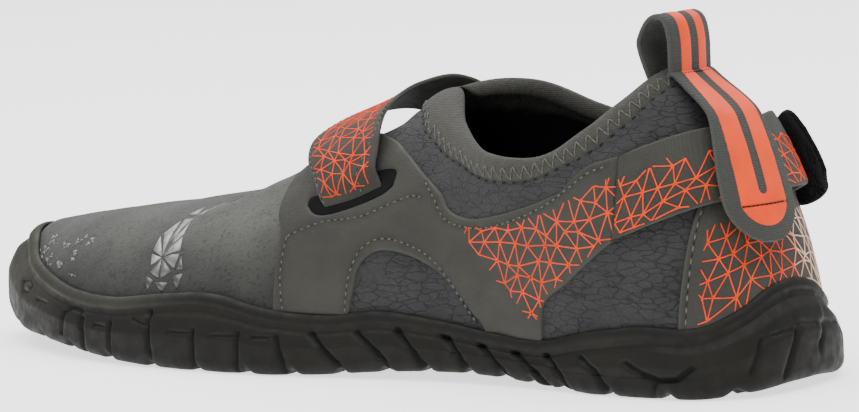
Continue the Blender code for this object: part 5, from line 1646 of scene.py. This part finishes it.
def make_heel_counter():
    """The overlay round the heel with its print and stitches."""
    part = np.linspace(0, 1, ACROSS_BAND)
    heights = COUNTER_FOOT[1] + (INSTEP_HEIGHT * COUNTER_TOP - COUNTER_FOOT[1]) * part
    front = {side: np.array([place_at(side, COUNTER_FOOT[0] + COUNTER_LEAN * k, z)[0] for k, z in zip(part, heights)])
             for side in BOTH}
    control = []
    for side, share_back in [(-1, i / 10) for i in range(11)] + [(1, 1 - i / 10) for i in range(1, 11)]:
        row = front[side] + (LAST - front[side]) * share_back
        low = lip_height(side, along_of(row)) - UNDER_LIP
        height = low + (INSTEP_HEIGHT * COUNTER_TOP - low) * part
        control.append(off_skin(side, row, share_at(side, row, height), np.full(ACROSS_BAND, -0.0001)))
    band = bend(control, 110, 46)
    total, tall = band.u[-1].max(), band.mid_v[-1]
    seam = (np.exp(-((band.u - HEEL_SEAM) / 0.0005) ** 2)
            + np.exp(-((band.u[-1:] - band.u - HEEL_SEAM) / 0.0005) ** 2))
    relief = -0.00016 * seam - 0.00025 * np.exp(-((band.u - 0.0036) / 0.0005) ** 2)
    slab("heel_overlay", band, COUNTER_THICKNESS + 0.0004, overlay_material("heel_overlay", OVERLAY), "overlay",
         ("heel_counter",), relief=relief, seam=np.clip(seam, 0, 1))
    outline = ((0.0040, 0.001), (0.0044, 0.012), (0.0052, 0.020), (0.0064, tall - 0.0052),
               (total - 0.006, tall - 0.0052), (total - 0.004, 0.001))
    out = COUNTER_THICKNESS + 0.00042
    printed_net("net_heel", outline, band.surface(out), HEEL_NET, "overlay",
                lambda a, b: glare((a[0] + b[0]) / 2 / total))
    lines = [np.array(((at, 0.0015), (at, tall - 0.001))) for at in (HEEL_SEAM, total - HEEL_SEAM)]
    sew("heel", lines, band.surface(out - 0.0002), "overlay")


HEEL_BAND_NET = Net(0.0048, 0.00045, 8)
# The print's wavy upper limit on the heel band: shares of its length and of its width
HEEL_BAND_PRINT = ((0.0, 0.74), (0.08, 0.66), (0.16, 0.74), (0.25, 0.66), (0.35, 0.73), (0.5, 0.66), (0.65, 0.72),
                   (0.8, 0.66), (1.0, 0.72))
# The band laps over the cage's end, thinned there by this much over this length
LAP, LAP_THIN, LAP_LENGTH = 0.0013, 0.0009, 0.006
# The hook end hangs a little lower than it lies in the solid: shares of INSTEP_HEIGHT at its two edges
TAIL_DROP = 0.045, 0.050


def make_heel_strap():
    """The stretch band round the heel with its printed net and black tail."""
    control = band_control(HEEL_STRAP)
    control[0] += unit(control[0] - control[1]) * LAP
    band = bend(control, 120, 26)
    thinned = -LAP_THIN * np.exp(-(band.u / LAP_LENGTH) ** 2)
    slab("heel_band", band, STRAP_THICKNESS, knit_band_material("heel_band", scaled(OVERLAY, 1.05)), "strap",
         ("heel_strap",), relief=thinned)
    long, tall = band.u[:, 20].max(), band.mid_v[-1]
    limit = [(min(max(long * along, 0.0006), long - 0.001), tall * up) for along, up in HEEL_BAND_PRINT]
    outline = [(0.0006, 0.0008), *limit, (long - 0.001, 0.0008)]
    printed_net("net_heel_band", outline, band.surface(STRAP_THICKNESS, thinned), HEEL_BAND_NET, "strap")
    tail = [row._replace(low=row.low - TAIL_DROP[0], high=row.high - TAIL_DROP[1]) for row in HEEL_TAB]
    slab("heel_tail", bend(band_control(tail), 50, 26), TAB_THICKNESS, hook_material(), "hook", ("heel_hook_tab",),
         ripple=0.0003)


# The strap's end inside the slot
SLOT_END = (Cross(-0.508, 0.004, 0.067, -0.0006), Cross(-0.482, -0.001, 0.064, 0.0010))
INSTEP_NET = Net(0.0043, 0.00036, 4)


def make_instep_strap():
    """The band that leaves the slot and crosses the instep, with its black end."""
    band = bend(cross_control(SLOT_END + INSTEP_STRAP), 120, 26)
    slab("instep_band", band, STRAP_THICKNESS, knit_band_material("instep_band", scaled(OVERLAY, 1.05)), "strap",
         ("instep_strap",))
    along = band.u[:, 16]
    long, tall = along.max(), band.mid_v[-1]
    outline = ((0.0022, 0.0018), (0.0022, tall - 0.0018), (long - 0.001, tall - 0.0018), (long - 0.001, 0.0018))
    printed_net("net_instep_band", outline, band.surface(STRAP_THICKNESS), INSTEP_NET, "strap")
    rows = [np.stack([along, np.abs(band.v[:, column] - 0.0010)], 1)[8:-8] for column in (0, -1)]
    sew("instep", rows, band.surface(STRAP_THICKNESS - 0.0001), "strap", radius=0.0002)
    slab("instep_tail", bend(cross_control(INSTEP_TAB), 24, 26), TAB_THICKNESS, hook_material(), "hook",
         ("instep_hook_tab",))


def step(value, soft):
    """0 below zero and 1 above, softened over a length."""
    return smooth_step(value / soft + 0.5)


# The striped tab starts a little above its solid, and leans to the medial side towards its end, in metres
TAB_START, TAB_LEAN = -0.014, 0.0085
# From the tab's end: the end of the slot between its stripes, its cross seam, and the grey rim round the orange
STRIPES_END, TAB_SEAM, TAB_RIM = 0.0125, 0.0098, 0.0042
SEAM_HALF = 0.0072


def make_bridge_strap():
    """The striped tab that hangs from the collar over the heel band, round at its lower end."""
    part = np.linspace(TAB_START, 1, 190)
    end = BRIDGE_WIDTH / 2
    height = BRIDGE_TOP + (BRIDGE_LOW - BRIDGE_TOP) * part
    width = (BRIDGE_TOP_WIDTH + (BRIDGE_WIDTH - BRIDGE_TOP_WIDTH) * smooth_step(part * 1.6)) / 2
    over = np.minimum(height - BRIDGE_LOW - end, 0)
    half = width * np.sqrt(np.maximum(1 - (over / end) ** 2, 0.004))
    lift = (BRIDGE_TOP_LIFT + (BRIDGE_LIFT - BRIDGE_TOP_LIFT) * smooth_step(part * 4)
            - 0.0009 * smooth_step(part / TAB_START))
    heel = np.full(len(part), float(LAST))
    line = skin(1, heel, share_at(1, heel, height))[:, 0]
    across = half[:, None] * (2 * edge_steps(76, BRIDGE_WIDTH) - 1)[None, :]
    lean = across - TAB_LEAN * (1 - (1 - np.clip(part, 0, 1)[:, None]) ** 1.6)
    band = Band3D(np.stack([(line + lift)[:, None] - lean ** 2 / 2 / BRIDGE_CURVE, lean,
                            np.broadcast_to(height[:, None], across.shape)], -1))
    arc, off = band.mid_u[:, None], np.abs(across)
    rest = arc[-1] - arc
    band.edge = np.minimum(half[:, None] - off, np.minimum(arc, rest))
    spread = np.interp(arc, (0, 0.016), (5.6, 7.6)) * MM
    core = np.interp(arc, (0, 0.04), (1.7, 1.35)) * MM
    within = step(spread - off, 0.00025)
    hollow = core - np.sqrt(np.maximum(core ** 2 - across ** 2, 0))
    closed = step(STRIPES_END + hollow - rest, 0.0003)
    ball = np.hypot(across, np.minimum(rest - end, 0))
    mask = np.maximum(step(off - core, 0.00025), closed) * within * step(end - TAB_RIM - ball, 0.0003)
    seam = np.exp(-((rest - TAB_SEAM) / 0.0004) ** 2) * (off < 0.0078)
    slab("striped_tab", band, STRAP_THICKNESS, striped_material("striped_tab"), "webbing", ("bridge_strap",),
         relief=0.00018 * mask - 0.00025 * seam, stripe=mask)
    mid = band.v[90, -1] / 2
    lines = [np.array(((at, mid - SEAM_HALF), (at, mid + SEAM_HALF))) for at in (0.0022, band.mid_u[-1] - TAB_SEAM)]
    sew("tab", lines, band.surface(STRAP_THICKNESS + 0.00005), "webbing", DARK_THREAD_AND_HOLE_SHADE, 0.0015, 0.7, 0.0002)


# The loop's stripes: distances from its middle, and where they start along it
LOOP_STRIPES, LOOP_STRIPES_START = (0.0015, 0.0054), 0.012


def make_pull_loop():
    """The finger loop: striped webbing from inside the collar, over the top and down to the striped tab."""
    rim = base_and_top(1, float(LAST))[1]
    depth = UPPER_WALL + 8 * CLEARANCE + LOOP_THICKNESS / 2
    inner = off_skin(1, np.full(3, float(LAST)), np.array(LOOP_INSIDE), np.full(3, -depth))
    path = [(p[0], p[2]) for p in inner] + [(rim[0] + back, rim[2] + up) for back, up in LOOP_PATH]
    path = smooth_run(np.array(path), 12)
    path = even_line(np.vstack([path, path[-1] + unit(path[-1] - path[-2]) * 0.0018]), 0.0004)
    place = edge_steps(90, 0.045) * (len(path) - 1)
    x, z = (np.interp(place, np.arange(len(path)), path[:, axis])[:, None] for axis in (0, 1))
    across = ((2 * edge_steps(40, LOOP_WIDTH) - 1) * LOOP_WIDTH / 2)[None]
    grid = np.stack(np.broadcast_arrays(x - across ** 2 / 2 / LOOP_CURVE, across, z), -1)
    band = Band3D(grid, (rim[0], 0.0, rim[2] + 0.007))
    low, high = (step(sign * (np.abs(across) - at), 0.00025) for sign, at in zip((1, -1), LOOP_STRIPES))
    mask = low * high * smooth_step((band.u[:, 25][:, None] - LOOP_STRIPES_START) / 0.001)
    slab("loop_webbing", band, LOOP_THICKNESS, striped_material("loop_webbing"), "webbing", ("pull_loop",),
         relief=0.00015 * mask, centred=True, stripe=mask)


def make_cloth_tree(upper):
    """The shaped upper in the tables' place, for prints and seams to settle on."""
    mesh = upper.data
    shift = Vector(SHIFT)
    return BVHTree.FromPolygons([v.co - shift for v in mesh.vertices], [tuple(p.vertices) for p in mesh.polygons])


# Light that the floor gives off by itself, which brings it near the photograph's white ground
FLOOR_GLOW = 1.5
FLOOR_RINGS, FLOOR_SIDES = (0.3, 0.8, 2.0, 6.0), 48


def floor_material():
    """Matt ground, nearly even, that gives off some light."""
    t = Tree("floor", (0.60, 0.60, 0.60), 0.8, specular=0.1)
    colour = t.mix(t.noise(t.place((0.004, 0.004, 0.004)), 1.0), (0.59, 0.59, 0.59), (0.61, 0.61, 0.61))
    t.shader.inputs["Emission Color"].default_value = (1.0, 1.0, 1.0, 1.0)
    t.shader.inputs["Emission Strength"].default_value = FLOOR_GLOW
    return t.done(colour)

def make_floor():
    """A wide pale floor."""
    turns = [2 * math.pi * i / FLOOR_SIDES for i in range(FLOOR_SIDES)]
    points = [(0.0, 0.0, 0.0)] + [(ring * math.cos(a), ring * math.sin(a), 0.0) for ring in FLOOR_RINGS for a in turns]
    faces = []
    for i in range(FLOOR_SIDES):
        j = (i + 1) % FLOOR_SIDES
        faces.append((0, 1 + i, 1 + j))
        for k in range(len(FLOOR_RINGS) - 1):
            a, b = 1 + FLOOR_SIDES * k, 1 + FLOOR_SIDES * (k + 1)
            faces.append((a + i, b + i, b + j, a + j))
    new_mesh("floor", points, faces, (floor_material(),), shift=False)


def add_light(name, place, aim, size, power):
    """A square area light that aims at a point."""
    light = bpy.data.lights.new(name, "AREA")
    light.shape = "RECTANGLE"
    light.size = light.size_y = size
    light.energy = power
    thing = bpy.data.objects.new(name, light)
    bpy.context.scene.collection.objects.link(thing)
    thing.location = place
    thing.rotation_euler = (Vector(aim) - Vector(place)).to_track_quat("-Z", "Y").to_euler()


def make_light():
    """Soft studio light: a pale surround, a large box above and a fill beside the camera."""
    world = bpy.data.worlds.new("studio")
    bpy.context.scene.world = world
    world.use_nodes = True
    background = next(node for node in world.node_tree.nodes if node.type == "BACKGROUND")
    background.inputs["Color"].default_value = (1.0, 1.0, 1.0, 1.0)
    background.inputs["Strength"].default_value = 0.55
    add_light("top", (-0.1, 0.2, 1.6), (0.0, 0.0, 0.03), 3.0, 120.0)
    add_light("front", (0.35, -0.95, 0.55), (0.0, 0.0, 0.04), 0.7, 3.0)


CAMERA_AZIMUTH, CAMERA_HEIGHT, CAMERA_ROLL = 40.0, 6.5, 2.56
CAMERA_DISTANCE = 1.2
FOCAL_PIXELS, FRAME_WIDTH, FRAME_HEIGHT = 4347.0, 859, 412
PICTURE_CENTRE = (387.2, 193.2)


def make_camera():
    """The photograph's view: from the heel's medial side, a little above the floor, rolled to its slope."""
    turn, rise, roll = (math.radians(v) for v in (CAMERA_AZIMUTH, CAMERA_HEIGHT, CAMERA_ROLL))
    back = Vector((math.sin(turn) * math.cos(rise), -math.cos(turn) * math.cos(rise), math.sin(rise)))
    right = Vector((math.cos(turn), math.sin(turn), 0.0))
    up = back.cross(right)
    tilted_right = right * math.cos(roll) - up * math.sin(roll)
    tilted_up = right * math.sin(roll) + up * math.cos(roll)
    place = Vector((0.0, 0.0, 0.045)) + Vector(SHIFT) + back * CAMERA_DISTANCE
    matrix = Matrix([(*axis, 0.0) for axis in (tilted_right, tilted_up, back)] + [(*place, 1.0)]).transposed()
    lens = bpy.data.cameras.new("camera")
    camera = bpy.data.objects.new("camera", lens)
    bpy.context.scene.collection.objects.link(camera)
    camera.matrix_world = matrix
    lens.sensor_fit = "HORIZONTAL"
    lens.sensor_width = 36.0
    lens.lens = FOCAL_PIXELS * 36.0 / FRAME_WIDTH
    lens.shift_x = (FRAME_WIDTH / 2 - PICTURE_CENTRE[0]) / FRAME_WIDTH
    lens.shift_y = (PICTURE_CENTRE[1] - FRAME_HEIGHT / 2) / FRAME_WIDTH
    lens.clip_end = 50.0
    bpy.context.scene.camera = camera


CLOTH_TREE = make_cloth_tree(make_upper())
make_outsole()
make_insole()
make_cages()
make_cage_trim()
make_heel_counter()
make_heel_strap()
make_instep_strap()
make_bridge_strap()
make_pull_loop()
make_zigzag()
make_shards()
make_floor()
make_light()
make_camera()
